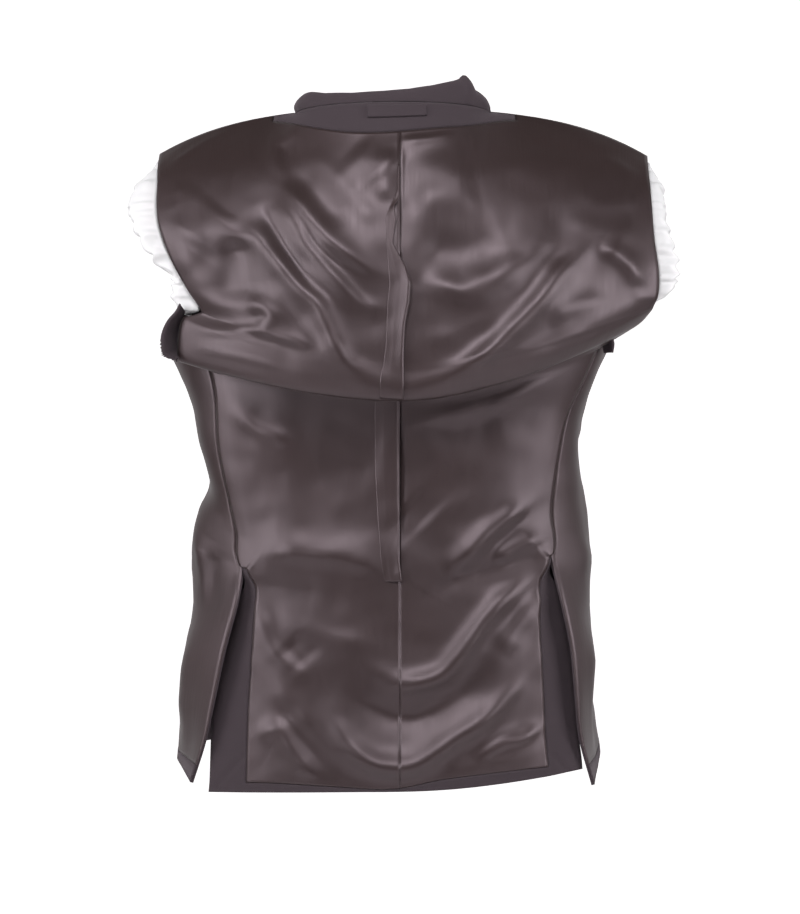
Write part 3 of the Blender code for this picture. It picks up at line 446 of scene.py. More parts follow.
def backSurface():
    rows = throughRows(backRows, backSteps)
    rows[:, 8] = np.clip(rows[:, 8], 0, 1)
    grid = np.array([np.concatenate([backSection(r, -1)[::-1], backSection(r, 1)[1:]]) for r in rows])
    lowerStart = rowStart(backSteps, foldExit + 1)
    upperEnd = rowStart(backSteps, foldEdge)
    index = np.arange(len(grid))
    upper = np.clip(np.minimum(index / (3 * fine), (upperEnd - index) / (2 * fine)), 0, 1)
    lower = np.clip(np.minimum((index - lowerStart) / fine + 1, (len(grid) - index) / (2 * fine)), 0, 1)
    grid = easedSeams(grid)
    hold = np.clip((index - 1) / easing["neckRows"], 0, 1)[:, None, None]
    for turn in range(easing["neckTurns"]):   # ease the turn below each neck point
        grid[:, 1:-1, 1:] += hold * 0.25 * (grid[:, :-2, 1:] + grid[:, 2:, 1:] - 2 * grid[:, 1:-1, 1:])
    flat = grid[:, :, [0, 2]].reshape(-1, 2)
    shape = grid.shape[:2]
    edge = np.clip(np.minimum(np.arange(shape[1]), np.arange(shape[1])[::-1]) / fine, 0, 1)
    lift = liftOf(flat, "upper").reshape(shape) * (upper * (index < upperEnd))[:, None]
    lift += liftOf(flat, "lower").reshape(shape) * (lower * (index >= lowerStart - fine))[:, None]
    uneven = smallWaves(flat, waves["backSeed"], waves["back"]).reshape(shape)
    lift += uneven * np.maximum(upper, lower)[:, None]
    grid[:, :, 1] -= lift * edge[None, :]
    middle, reach = backColumns * fine, easing["skirtReach"]
    skirt = grid[rowStart(backSteps, ventRow) - 2:, middle - reach:middle + reach + 1, 1]
    for turn in range(easing["skirtTurns"]):   # the centre seam of the skirt lies flush
        skirt[:, 1:-1] += 0.25 * (skirt[:, :-2] + skirt[:, 2:] - 2 * skirt[:, 1:-1])
    return grid


def hermite(a, b, start, end, count):
    # curve from a to b that leaves along start and arrives along end
    a, b, start, end = (np.array(v, float) for v in (a, b, start, end))
    length = np.linalg.norm(b - a)
    start = start / np.linalg.norm(start) * length
    end = end / np.linalg.norm(end) * length
    t = (np.arange(count) + 1)[:, None] / count
    return ((2 * t ** 3 - 3 * t ** 2 + 1) * a + (t ** 3 - 2 * t ** 2 + t) * start
            + (3 * t ** 2 - 2 * t ** 3) * b + (t ** 3 - t ** 2) * end)


# How round a front is, how it leaves towards the side, how it arrives at the seam or at the free flap,
# and where along the side and how roundly the side panel rises.
frontShape = {"round": 2.4, "leave": 2.4, "seam": (0.75, 0.55), "flap": (0.6, 0.7), "riseStart": 0.6,
              "riseCurve": 0.8}


def frontSection(edge, outer):
    t = np.arange(frontColumns * fine + 1)[:, None] / (frontColumns * fine)
    points = edge + (outer - edge) * t
    points[:, 1] = outer[1] + (edge[1] - outer[1]) * (1 - t[:, 0] ** frontShape["round"])
    return points


sideRise = 15.0   # how far each side panel rises behind the overhang
armholeFoot = {-1: -209, 1: 200}   # where the foot of each armhole bends to the side
flatFoot = {8: 0.3, 9: 0.6, 10: 1.0}   # how straight the lowest sections of a flap run to its tip
ventStep = (3.06, -2.34)   # how far out and back the flap steps over the top of its vent
columnWidth = 3.6   # of one fine column of the sides

# Folds of the sides and fronts, in millimetres: distance from the side-back seam, height.
frontFolds = {
    # stands out, width before, width behind, line
    -1: [(3.0, 5, 6, [(22, -250), (16, -300), (9, -345), (4, -375)]),
         (3.5, 5, 7, [(6, -335), (28, -377), (33, -414), (30, -450)]),
         (-3.5, 9, 9, [(46, -300), (50, -335), (44, -365)]),
         (3.0, 8, 8, [(60, -330), (44, -385), (52, -430), (50, -480)]),
         (-2.5, 8, 8, [(14, -395), (22, -430), (20, -470)]),
         (2.5, 9, 9, [(30, -480), (40, -540), (34, -600)]),
         (5.0, 16, 14, [(120, -120), (150, -200), (175, -300)]),
         (4.0, 12, 18, [(205, -80), (190, -180), (205, -300), (196, -420)]),
         (5.0, 14, 12, [(112, -380), (132, -480), (120, -600)]),
         (4.0, 12, 14, [(190, -420), (168, -500), (186, -600)]),
         (3.5, 8, 11, [(62, -318), (100, -345), (150, -338)]),
         (2.5, 8, 9, [(70, -290), (110, -302), (165, -288)])],
    1: [(3.0, 5, 6, [(9, -270), (14, -305), (13, -344), (7, -372)]),
        (3.0, 7, 7, [(30, -290), (22, -340), (30, -390), (26, -430)]),
        (-3.0, 9, 9, [(40, -330), (36, -370), (44, -410)]),
        (2.5, 9, 9, [(34, -470), (26, -530), (34, -600)]),
        (5.0, 14, 16, [(128, -130), (146, -210), (182, -310)]),
        (4.0, 16, 12, [(198, -90), (204, -190), (190, -290), (204, -430)]),
        (5.0, 12, 14, [(104, -390), (118, -490), (136, -600)]),
        (4.0, 12, 14, [(180, -430), (192, -510), (172, -600)]),
        (3.5, 10, 9, [(58, -326), (96, -338), (146, -352)]),
        (2.5, 8, 9, [(64, -280), (112, -296), (158, -300)])],
}
frontFoldSize = 1.6   # makes every fold of the sides and fronts deeper or shallower


def frontLift(grid, side, topCount):
    last = grid.shape[1] - 1
    bend = frontColumns * fine
    away = (last - np.arange(last + 1)) * columnWidth + np.zeros(grid.shape[:2])
    flat = np.stack([away, grid[:, :, 2]], axis=2).reshape(-1, 2)
    lift = np.zeros(len(flat))
    least = foldShape["end"]
    for height, before, behind, line in frontFolds[side]:
        gap, turn, share = alongLine(flat, smoothLine(line))
        ends = least + (1 - least) * foldEnds(share, foldShape["frontFade"])
        lift += frontFoldSize * height * ends * foldProfile(gap, turn, before, behind)
    lift = (lift + smallWaves(flat, waves["frontSeed"] + side, waves["front"])).reshape(grid.shape[:2])
    j = np.arange(last + 1)
    i = np.arange(len(grid))
    lower = np.clip((i - topCount) / fine, 0, 1)[:, None] * np.clip(np.minimum(j, last - j) / fine, 0, 1)
    upper = np.clip(i / fine, 0, 1)[:, None] * np.clip(np.minimum(j, bend - j) / fine, 0, 1)
    hold = np.where((i < topCount)[:, None], upper, np.maximum(lower, upper * (j <= bend)))
    return lift * hold * np.clip((len(grid) - 1 - i) / fine, 0.25, 1)[:, None]


def frontSurface(side, back):
    # one front, wrapped round the side to the side-back seam or the vent
    middle = backColumns * fine
    inner = neckColumn * fine
    shoulder = back[0, middle - inner::-1] if side < 0 else back[0, middle + inner:]
    upper, lower = [], []
    for ex, ey, ez, ax, ay, az in frontUpperRows:
        upper.append(frontSection(np.array((side * ex, ey, ez), float), np.array((side * ax, ay, az), float)))
    seamColumn = 0 if side < 0 else 2 * middle
    half = sideColumns * fine // 2
    for i, (ex, ey, ez, fx, fy, fz) in enumerate(frontLowerRows):
        edge = np.array((side * ex, ey, ez), float)
        bend = np.array((side * fx, fy, fz), float)
        if i == 0:
            bend[0] = armholeFoot[side]
        depth, lx, lz, rx, rz = sideRows[i]
        wide = np.array((lx if side < 0 else rx, depth, lz if side < 0 else rz), float)
        if i in flapRows:
            seam = np.array(flapRows[i][:3] if side < 0 else flapRows[i][3:], float)
            inward, backward = frontShape["flap"]
        else:
            seam = back[rowStart(backSteps, rowNames.get(i, foldExit)), seamColumn]
            inward, backward = frontShape["seam"]
        arrive = np.array((-side * inward, -backward, 0.0))
        leave = (bend[0] - edge[0], (bend[1] - edge[1]) * frontShape["leave"], 0.0)
        straight = (seam - wide) / np.linalg.norm(seam - wide)
        share = flatFoot.get(i, 0.0)
        turning = np.array((0.0, -1.0, 0.0)) * (1 - share) + straight * share
        arrive = arrive * (1 - share) + straight * share
        lower.append(np.concatenate([frontSection(edge, bend), hermite(bend, wide, leave, turning, half),
                                     hermite(wide, seam, turning, arrive, half)]))
    bendColumn = frontColumns * fine
    start = half * frontShape["riseStart"]
    t = np.clip((np.arange(len(lower[0])) - bendColumn - start) / (2 * half - start), 0, 1)
    lower[0][:, 2] += sideRise * np.sin(math.pi * t) ** frontShape["riseCurve"]
    top = throughRows([shoulder] + upper + [lower[0][:bendColumn + 1]], upperSteps)[:-1]
    bottom = throughRows(lower, lowerSteps)
    ventHere = rowStart(lowerSteps, 5)
    first = rowStart(backSteps, foldExit)
    for i in range(ventHere + 1):
        bottom[i, -1] = back[first + i, seamColumn]
    bottom[ventHere, -1] += np.array((side * ventStep[0], ventStep[1], 0.0))
    width = (frontColumns + sideColumns) * fine + 1
    grid = np.zeros((len(top) + len(bottom), width, 3))
    grid[:len(top), :bendColumn + 1] = top
    grid[:len(top), bendColumn + 1:] = top[:, -1:]
    grid[len(top):] = bottom
    mask = np.ones((len(grid) - 1, width - 1), bool)
    mask[:len(top), bendColumn:] = False
    grid += gridNormals(grid, flip=side > 0) * frontLift(grid, side, len(top))[:, :, None]
    return grid, mask, len(top)


def easeSeam(back, front, side, topCount):
    # the side-back seam lies almost flush, so back and side run smoothly into each other
    reach = 2 * fine
    rows = rowStart(lowerSteps, 5) + 1
    first = rowStart(backSteps, foldExit)
    outer = front[topCount:topCount + rows]
    inner = back[first:first + rows]
    if side > 0:
        inner = inner[:, ::-1]
    joined = np.concatenate([outer[:, -reach - 1:-1], inner[:, :reach + 1]], axis=1)
    across = np.clip((reach - abs(np.arange(2 * reach + 1) - reach)) / reach, 0, 1)
    down = np.clip((rows - 1 - np.arange(rows)) / fine, 0, 1)
    hold = across[None, :] * down[:, None]
    for turn in range(easing["seamTurns"]):
        between = 0.5 * (joined[:, :-2] + joined[:, 2:])
        joined[:, 1:-1] += 0.5 * hold[:, 1:-1, None] * (between - joined[:, 1:-1])
    outer[:, -reach - 1:] = joined[:, :reach + 1]
    inner[:, :reach + 1] = joined[:, reach:]


def quadNormals(grid, flip, ring=False):
    if ring:
        grid = np.concatenate([grid, grid[:, :1]], axis=1)
    a, b, c, d = grid[:-1, :-1], grid[1:, :-1], grid[1:, 1:], grid[:-1, 1:]
    return np.cross(c - a, d - b) * (-1 if flip else 1)


def gridNormals(grid, flip=False, ring=False):
    quads = quadNormals(grid, flip, ring)
    total = np.zeros_like(grid)
    for rows, side in ((slice(0, -1), 0), (slice(1, None), 1)):
        if ring:
            total[rows] += quads + np.roll(quads, 1, axis=1)
        else:
            total[rows, :-1] += quads
            total[rows, 1:] += quads
    return unit(total)


def sharedNormals(parts):
    # outward normals of several grids, averaged where they share a seam
    points, totals = [], []
    for grid, mask, flip in parts:
        quads = quadNormals(grid, flip) * mask[:, :, None]
        total = np.zeros_like(grid)
        total[:-1, :-1] += quads
        total[1:, :-1] += quads
        total[:-1, 1:] += quads
        total[1:, 1:] += quads
        points.append(np.round(grid.reshape(-1, 3), 2))
        totals.append(total.reshape(-1, 3))
    places, which = np.unique(np.concatenate(points), axis=0, return_inverse=True)
    which = which.reshape(-1)
    summed = np.zeros((len(places), 3))
    np.add.at(summed, which, np.concatenate(totals))
    every = unit(summed)[which]
    result, start = [], 0
    for grid, mask, flip in parts:
        count = grid.shape[0] * grid.shape[1]
        result.append(every[start:start + count].reshape(grid.shape))
        start += count
    return result


def region(shape, rows, columns):
    mask = np.zeros(shape, bool)
    mask[rows[0]:rows[1], columns[0]:columns[1]] = True
    return mask


def clothUv(grid):
    # lengths along the cloth in metres, across and down
    across = np.linalg.norm(np.diff(grid, axis=1), axis=2).mean(axis=0)
    down = np.linalg.norm(np.diff(grid, axis=0), axis=2).mean(axis=1)
    u = np.concatenate([[0], np.cumsum(across)]) * mm
    v = np.concatenate([[0], np.cumsum(down)]) * mm
    return u, v


def whole(grid, ring=False):
    # every face of a grid
    return np.ones((grid.shape[0] - 1, grid.shape[1] - (0 if ring else 1)), bool)


pieces = {}


def wall(name, grid, normals, mask, flip, low, high, material, inset=0.15, roll=0.0, ring=False,
         node=None):
    # closed cloth wall over the masked faces of a grid, from low to high along the normals
    rows, columns = grid.shape[:2]
    i, j = np.nonzero(mask)
    k = (j + 1) % columns if ring else j + 1
    quads = np.stack([i * columns + j, (i + 1) * columns + j, (i + 1) * columns + k, i * columns + k], axis=1)
    if flip:
        quads = quads[:, ::-1]
    points = grid.reshape(-1, 3).copy()
    outward = normals.reshape(-1, 3)
    edges = np.concatenate([quads[:, [0, 1]], quads[:, [1, 2]], quads[:, [2, 3]], quads[:, [3, 0]]])
    count = rows * columns
    codes = edges[:, 0] * count + edges[:, 1]
    back = edges[:, 1] * count + edges[:, 0]
    rim = edges[~np.isin(codes, back)]
    inner = np.cross(outward[rim[:, 0]] + outward[rim[:, 1]], points[rim[:, 1]] - points[rim[:, 0]])
    inner = unit(inner)
    inward = np.zeros_like(points)
    np.add.at(inward, rim[:, 0], inner)
    np.add.at(inward, rim[:, 1], inner)
    length = np.linalg.norm(inward, axis=1)
    points += unit(inward) * inset * (length > 0.1)[:, None]
    used = np.unique(quads)
    order = np.full(count, -1)
    order[used] = np.arange(len(used))
    onRim = np.zeros(count, bool)
    onRim[rim.reshape(-1)] = True
    top = (np.zeros((rows, columns)) + high).reshape(-1)[used] - roll * onRim[used]
    outer = points[used] + outward[used] * top[:, None]
    below = points[used] + outward[used] * low
    base = len(used)
    faces = [order[quads], order[quads[:, ::-1]] + base]
    a, b = order[rim[:, 0]], order[rim[:, 1]]
    faces.append(np.stack([b, a, a + base, b + base], axis=1))
    faces = np.concatenate(faces)
    mesh = bpy.data.meshes.new(name)
    mesh.from_pydata(np.concatenate([outer, below]) * mm, [], faces.tolist())
    u, v = clothUv(grid)
    where = np.concatenate([used, used])
    uv = np.stack([u[np.minimum(where % columns, len(u) - 1)], -v[where // columns]], axis=1)
    layer = mesh.uv_layers.new(name="cloth")
    loops = np.zeros(len(mesh.loops), int)
    mesh.loops.foreach_get("vertex_index", loops)
    layer.data.foreach_set("uv", uv[loops].reshape(-1))
    onFace = np.arange(len(mesh.polygons)) < 2 * len(quads)   # cut edges stay crisp
    mesh.polygons.foreach_set("use_smooth", onFace)
    mesh.materials.append(material)
    mesh.update()
    piece = bpy.data.objects.new(name + "_cloth", mesh)
    bpy.context.scene.collection.objects.link(piece)
    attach(piece, "root")
    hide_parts(node or name)
    if node:
        return piece
    area = quadNormals(grid, False, ring) * mask[:, :, None]
    pieces[name] = (piece, float(np.linalg.norm(area, axis=2).sum()) / 2 * mm * mm)
    return piece


# Finishes. Sizes in the nodes are in metres of cloth.
def nodeMaker(name):
    made = bpy.data.materials.new(name)
    made.use_nodes = True
    tree = made.node_tree
    shader = tree.nodes["Principled BSDF"]

    def add(kind, links=(), **values):
        node = tree.nodes.new(kind)
        for field, value in values.items():
            if field.startswith("in"):
                node.inputs[int(field[2:])].default_value = value
            else:
                setattr(node, field, value)
        for source, target in links:
            tree.links.new(source, node.inputs[target])
        return node
    return made, tree, shader, add


def setInputs(shader, values):
    for field, value in values.items():
        shader.inputs[field].default_value = value


def setRamp(ramp, *stops):
    for element, (position, colour) in zip(ramp.color_ramp.elements, stops):
        element.position = position
        element.color = colour


# Satin: how often slubs and threads come in a metre, clouds of shade, depth of the weave in the light.
satin = {"slubs": (900.0, 26.0, 1.0), "threads": (1500.0, 700.0, 1.0), "clouds": 9.0, "weave": 0.16,
         "weaveDepth": 0.0002, "unevenShine": 0.09}


def satinCloth(name, colour, dark, light, roughness):
    made, tree, shader, add = nodeMaker(name)
    place = add("ShaderNodeUVMap", uv_map="cloth")
    slubs = add("ShaderNodeMapping", [(place.outputs[0], 0)])
    slubs.inputs["Scale"].default_value = satin["slubs"]
    streak = add("ShaderNodeTexNoise", [(slubs.outputs[0], 0)], in2=1.0, in3=4.0)
    cloud = add("ShaderNodeTexNoise", [(place.outputs[0], 0)], in2=satin["clouds"], in3=4.0)
    ramp = add("ShaderNodeValToRGB", [(cloud.outputs[0], 0)])
    setRamp(ramp, (0.3, dark), (0.75, light))
    mixed = add("ShaderNodeMix", [(streak.outputs[0], 0), (ramp.outputs[0], 6)], data_type="RGBA")
    mixed.inputs[7].default_value = colour
    tree.links.new(mixed.outputs[2], shader.inputs["Base Color"])
    threads = add("ShaderNodeMapping", [(place.outputs[0], 0)])
    threads.inputs["Scale"].default_value = satin["threads"]
    weave = add("ShaderNodeTexNoise", [(threads.outputs[0], 0)], in2=1.0, in3=1.0)
    bump = add("ShaderNodeBump", [(weave.outputs[0], 3)], in0=satin["weave"], in1=satin["weaveDepth"])
    tree.links.new(bump.outputs[0], shader.inputs["Normal"])
    level = add("ShaderNodeMapRange", [(streak.outputs[0], 0)], in3=roughness - satin["unevenShine"],
                in4=roughness + satin["unevenShine"])
    tree.links.new(level.outputs[0], shader.inputs["Roughness"])
    grain = add("ShaderNodeTangent", direction_type="UV_MAP", uv_map="cloth")
    tree.links.new(grain.outputs[0], shader.inputs["Tangent"])
    setInputs(shader, {"Anisotropic": 0.4, "Specular IOR Level": 0.85, "Sheen Weight": 0.06,
                       "Sheen Roughness": 0.4, "Specular Tint": (1.0, 0.83, 0.92, 1.0)})
    return made


# Wool: twill lines and grain in a metre, the twill's turn in degrees, depth of both in the light.
wool = {"twill": 480.0, "turn": 63, "grain": 1300.0, "relief": 0.35, "reliefDepth": 0.0003}


def woolCloth(name, colour, dark):
    made, tree, shader, add = nodeMaker(name)
    place = add("ShaderNodeUVMap", uv_map="cloth")
    turned = add("ShaderNodeMapping", [(place.outputs[0], 0)])
    turned.inputs["Rotation"].default_value = (0.0, 0.0, math.radians(wool["turn"]))
    twill = add("ShaderNodeTexWave", [(turned.outputs[0], 0)], in1=wool["twill"], in2=1.2, in3=2.0)
    grain = add("ShaderNodeTexNoise", [(place.outputs[0], 0)], in2=wool["grain"], in3=2.0)
    joined = add("ShaderNodeMath", [(twill.outputs[1], 0), (grain.outputs[0], 1)], operation="MULTIPLY")
    ramp = add("ShaderNodeValToRGB", [(joined.outputs[0], 0)])
    setRamp(ramp, (0.05, dark), (0.55, colour))
    tree.links.new(ramp.outputs[0], shader.inputs["Base Color"])
    bump = add("ShaderNodeBump", [(joined.outputs[0], 3)], in0=wool["relief"], in1=wool["reliefDepth"])
    tree.links.new(bump.outputs[0], shader.inputs["Normal"])
    setInputs(shader, {"Roughness": 0.85, "Specular IOR Level": 0.3, "Sheen Weight": 0.12,
                       "Sheen Roughness": 0.5, "Sheen Tint": (1.0, 0.88, 0.94, 1.0)})
    return made


liningCloth = satinCloth("bodyLiningSatin", (0.0195, 0.0104, 0.0093, 1), (0.0145, 0.0079, 0.0070, 1),
                         (0.0255, 0.0142, 0.0131, 1), 0.48)
sleeveCloth = satinCloth("whiteSleeveLining", (0.70, 0.70, 0.71, 1), (0.66, 0.66, 0.67, 1),
                         (0.74, 0.74, 0.75, 1), 0.5)
suitCloth = woolCloth("suitWool", (0.053, 0.038, 0.046, 1), (0.030, 0.021, 0.026, 1))
print("materials made")


back = backSurface()
left, leftMask, topCount = frontSurface(-1, back)
right, rightMask, topCount = frontSurface(1, back)
easeSeam(back, left, -1, topCount)
easeSeam(back, right, 1, topCount)
backMask = whole(back)
backOut, leftOut, rightOut = sharedNormals([(back, backMask, False), (left, leftMask, False),
                                            (right, rightMask, True)])

gap = cloth["halfGap"]
shape = backMask.shape
middle = backColumns * fine
wide = 2 * middle
neckRow = rowStart(backSteps, 1)
ventStart = rowStart(backSteps, ventRow)
footRow = rowStart(backSteps, liningFoot)
inner = (neckColumn + 1) * fine
neckFacing = region(shape, (0, neckRow), (middle - inner, middle + inner))
turnUp = region(shape, (footRow, shape[0]), (0, wide))
turnUp |= region(shape, (ventStart, shape[0]), (0, middle - ventColumn * fine))
turnUp |= region(shape, (ventStart, shape[0]), (middle + ventColumn * fine, wide))
backLining = ~neckFacing & ~turnUp
# Each layer of cloth: where it starts and ends, outward from the seam surface.
layers = {"wool": (-gap - cloth["wool"], -gap), "lining": (gap, gap + cloth["lining"]),
          "facing": (gap, gap + cloth["facing"])}

# Mitre seam of each lower corner of the back, pressed into the turn-up.
mitres = {"left": [(-149, -600), (-176, -631)], "right": [(147, -600), (172, -629)]}
hemSizes = {"mitreDepth": 1.1, "mitreWidth": 2.6, "frontRows": 3, "facingRoll": 0.7}
for word, columns in (("left", (0, middle)), ("right", (middle, wide))):
    half = region(shape, (0, shape[0]), columns)
    away = alongLine(back[:, :, [0, 2]].reshape(-1, 2), mitres[word])[0].reshape(back.shape[:2])
    pressed = hemSizes["mitreDepth"] * np.exp(-(away / hemSizes["mitreWidth"]) ** 2)
    folded = gap + cloth["facing"] - pressed
    wall("shell_back_" + word, back, backOut, half, False, *layers["wool"], suitCloth, inset=0.0)
    wall("lining_back_" + word, back, backOut, half & backLining, False, *layers["lining"], liningCloth)
    wall("turn_up_back_" + word, back, backOut, half & turnUp, False, gap, folded, suitCloth)
wall("facing_back_neck", back, backOut, neckFacing, False, *layers["facing"], suitCloth,
     roll=hemSizes["facingRoll"])
fronts = {"left": (left, leftOut, leftMask, False), "right": (right, rightOut, rightMask, True)}
for word, (grid, normals, mask, flip) in fronts.items():
    foot, width = mask.shape
    facing = region(mask.shape, (0, foot), (0, facingColumns * fine)) & mask
    strip = region(mask.shape, (foot - hemSizes["frontRows"], foot), (facingColumns * fine, width))
    lining = mask & ~facing & ~strip
    wall("shell_front_" + word, grid, normals, mask, flip, *layers["wool"], suitCloth)
    wall("facing_front_" + word, grid, normals, facing, flip, *layers["facing"], suitCloth)
    wall("lining_front_" + word, grid, normals, lining, flip, *layers["lining"], liningCloth)
    wall("turn_up_front_" + word, grid, normals, strip, flip, *layers["facing"], suitCloth)
print("body made")


gorge = rowStart(upperSteps, 3)   # where collar and lapel meet
rowStep = 5   # fine steps between two rows of the collar and the sleeves

# Collar: up from the neck seam, over a roll, and down inside.
collarSizes = {"fall": 30.0, "roll": 9.0}
rollHeights = [
    # share of the path, height, bulge outward
    (0.0, 9.0, 0.0), (0.16, 10.0, 0.0), (0.205, 13.0, 2.5), (0.235, 17.0, 5.5), (0.27, 17.5, 4.0),
    (0.31, 15.0, 1.5), (0.35, 10.5, 0.0), (0.415, 7.8, 0.0), (0.48, 8.6, 0.0), (0.53, 10.6, 0.0),
    (0.578, 15.0, 0.0), (0.625, 21.5, 0.0), (0.641, 24.5, 1.0), (0.649, 29.5, 2.5), (0.657, 26.5, 2.5),
    (0.666, 23.5, 1.5), (0.674, 16.0, 1.5), (0.70, 15.0, 3.0), (0.735, 14.5, 3.5), (0.765, 12.0, 3.0),
    (0.80, 10.0, 1.0), (0.87, 9.0, 0.0), (1.0, 9.0, 0.0),
]


def softened(field):
    # each point of a line drawn towards its two neighbours
    field[1:-1] = (field[:-2] + 2 * field[1:-1] + field[2:]) / 4
    return field


def collarSurface():
    neck = slice(middle - neckColumn * fine, middle + neckColumn * fine + 1)
    towards, onward = slice(gorge, 0, -1), slice(1, gorge + 1)
    path = np.concatenate([left[towards, 0], back[0, neck], right[onward, 0]])
    outward = np.concatenate([leftOut[towards, 0], backOut[0, neck], rightOut[onward, 0]])
    up = path - np.concatenate([left[towards, fine], back[fine, neck], right[onward, fine]])
    finer = np.linspace(0, len(path) - 1, 5 * len(path) // 2)
    path, outward, up = (respaced(field, finer, np.arange(len(field))) for field in (path, outward, up))
    up = unit(up)
    for turn in range(fine * 10):   # ease the turn at each neck point
        up, outward = unit(softened(up)), unit(softened(outward))
    share = lengthAlong(path)
    share /= share[-1]
    stops = np.array(rollHeights)
    h, bulge = (np.interp(share, stops[:, 0], stops[:, k]) for k in (1, 2))
    h, bulge = softened(h)[:, None], softened(bulge)[:, None]
    inward = -unit(outward * np.array((1, 1, 0)))
    upright = np.array((0, 0, 1.0))
    rise = unit(up * 0.5 + upright * 0.5)
    centre = path + up * 2 * gap - outward * 0.17
    roll, fall = collarSizes["roll"], collarSizes["fall"]
    rows = [centre, centre + rise * h * 0.45 - inward * bulge,
            centre + rise * h * 0.85 + inward * (1.0 - bulge),
            centre + rise * (h + 2.0) + inward * (roll * 0.5 - bulge * 0.4),
            centre + rise * h * 0.85 + inward * roll,
            centre + rise * h * 0.2 + inward * (roll + 1.5),
            centre + inward * (roll + 1.0) - upright * fall * 0.45,
            centre + inward * roll - upright * fall]
    return throughRows(rows, [rowStep] * (len(rows) - 1))


collarGrid = collarSurface()
collarOut = gridNormals(collarGrid, flip=True)
half = cloth["collar"] / 2
wall("collar", collarGrid, collarOut, whole(collarGrid), True, -half, half, suitCloth, inset=0.0)


# Lapels, folded to the inside from each roll line.
lapelSizes = {"width": 2.7, "depth": 7.0, "rootDepth": 3.2, "taper": 0.85, "thick": 2.0}
lapelDepths = [-lapelSizes["rootDepth"]] + [-lapelSizes["depth"] * share for share in (0.8, 1, 1)]
lastRow = rowStart(upperSteps, 6) + rowStart(lowerSteps, 2)
for word, (grid, normals, mask, flip) in fronts.items():
    rows = np.arange(gorge + fine, lastRow + 1)
    share = (rows - rows[0]) / (rows[-1] - rows[0])
    widths = lapelSizes["width"] * (1 - lapelSizes["taper"] * share ** 1.5) * fine
    across = np.linspace(0, 1, 16)
    lifts = np.interp(across, (0, 1 / 3, 2 / 3, 1), lapelDepths)
    columns = widths[:, None] * across
    r = rows[:, None] + np.zeros_like(columns)
    outward = unit(resampled(normals, r, columns))
    points = resampled(grid, r, columns) + outward * lifts[:, None]
    half = lapelSizes["thick"] / 2
    wall("lapel_" + word, points, outward, whole(points), flip, -half, half, suitCloth, inset=0.0)
print("collar and lapels made")


# Hanger loop on the neck facing and the ease pleat down the centre back.
trimSizes = {"loopLeft": -0.128, "loopRight": 0.102, "loopTop": 0.12, "loopFoot": 0.52, "loopLift": 0.5,
             "loopThick": 1.2}
columns = np.linspace(middle + trimSizes["loopLeft"] / neckPoint[-1] * neckColumn * fine,
                      middle + trimSizes["loopRight"] / neckPoint[1] * neckColumn * fine, 60)
rows = np.linspace(neckRow * trimSizes["loopTop"], neckRow * trimSizes["loopFoot"], 14)
lift = gap + cloth["facing"] + trimSizes["loopLift"]
outward = sampled(backOut, rows, columns)
points = sampled(back, rows, columns) + outward * lift
wall("hanger_loop", points, outward, whole(points), False, 0.0, trimSizes["loopThick"], suitCloth,
     inset=0.0)
pleatRows = {
    # height, left edge, right edge, stands out
    "pleat_upper": [(-60, -2.5, -1.5, 0.0), (-70, -6, -2, 1.5), (-78, -9, -5, 3.5), (-88, -12, -3, 2.5),
                    (-112, -11, -6, 1.5), (-134, -10, 5, 3.0), (-150, -9, 10, 6.5), (-168, -11, 9, 6.0),
                    (-190, -12.5, 5, 4.5), (-210, -14, 4, 3.0), (-230, -17, 3.5, 2.5), (-246, -18, 3.5, 1.5),
                    (-270, -18, 3.5, 1.2)],
    "pleat_lower": [(-244, -26, -1.5, 0.3), (-275, -28, -1.5, 2.2), (-330, -28, -2, 3.2),
                    (-380, -27, -2, 3.2), (-410, -25, -1, 3.0), (-425, -22, 2, 3.2), (-437, -18, 4.0, 1.6),
                    (-446, -15, 2.0, 0.3)],
}
# Thickness of the inner edge, where the cloth is folded under, and shares of the pleat's width.
pleatSizes = {"pleat_upper": 0.25, "pleat_lower": 0.08, "crest": 0.88, "droop": 0.5, "thinPart": 0.4,
              "clear": 0.05, "slope": 0.1}
for name, table in pleatRows.items():
    table = np.array(table, float)
    first, last, lastStep = (2, foldEdge, -1) if name == "pleat_upper" else (foldExit, ventRow, 1)
    rows = np.arange(rowStart(backSteps, first), rowStart(backSteps, last) + lastStep, dtype=float)
    rows = rows[back[rows.astype(int), middle, 2] >= table[-1, 0]]
    heights = back[rows.astype(int), middle, 2]
    across = np.linspace(0, 1, 21)
    leftEdge, rightEdge, proud = (np.interp(-heights, -table[:, 0], table[:, k])[:, None] for k in (1, 2, 3))
    step = np.linalg.norm(back[100, middle + 1] - back[100, middle])
    columns = middle + (leftEdge + (rightEdge - leftEdge) * across) / step
    r = rows[:, None] + np.zeros_like(columns)
    outward = resampled(backOut, r, columns)
    crest = pleatSizes["crest"]
    droop = pleatSizes["droop"] * np.clip((across - crest) / (1 - crest), 0, 1) ** 2
    arch = np.clip(across / crest, 0, 1) ** 2 * (1 - droop)
    full = np.clip(across / pleatSizes["thinPart"], 0, 1)
    rise = gap + cloth["lining"] + pleatSizes["clear"] + pleatSizes["slope"] * full + proud * arch
    points = resampled(back, r, columns) + outward * rise[:, :, None]
    thick = pleatSizes[name] + (cloth["lining"] - pleatSizes[name]) * full
    wall(name, points, outward, whole(points), False, 0.0, np.zeros_like(r) + thick, liningCloth,
         inset=0.0)
print("trim made")


# Sleeves, which hang inside the body, and the white sleeve lining that swells out of each armhole.
sleeveSizes = {"mouthInset": 3.0, "liningInset": 5.2, "centre": 145.0, "halfWidth": 21.0, "halfDepth": 52.0,
               "tubeGap": 3.0, "top": -285.0, "cuff": -575.0}
ringPoints = 420

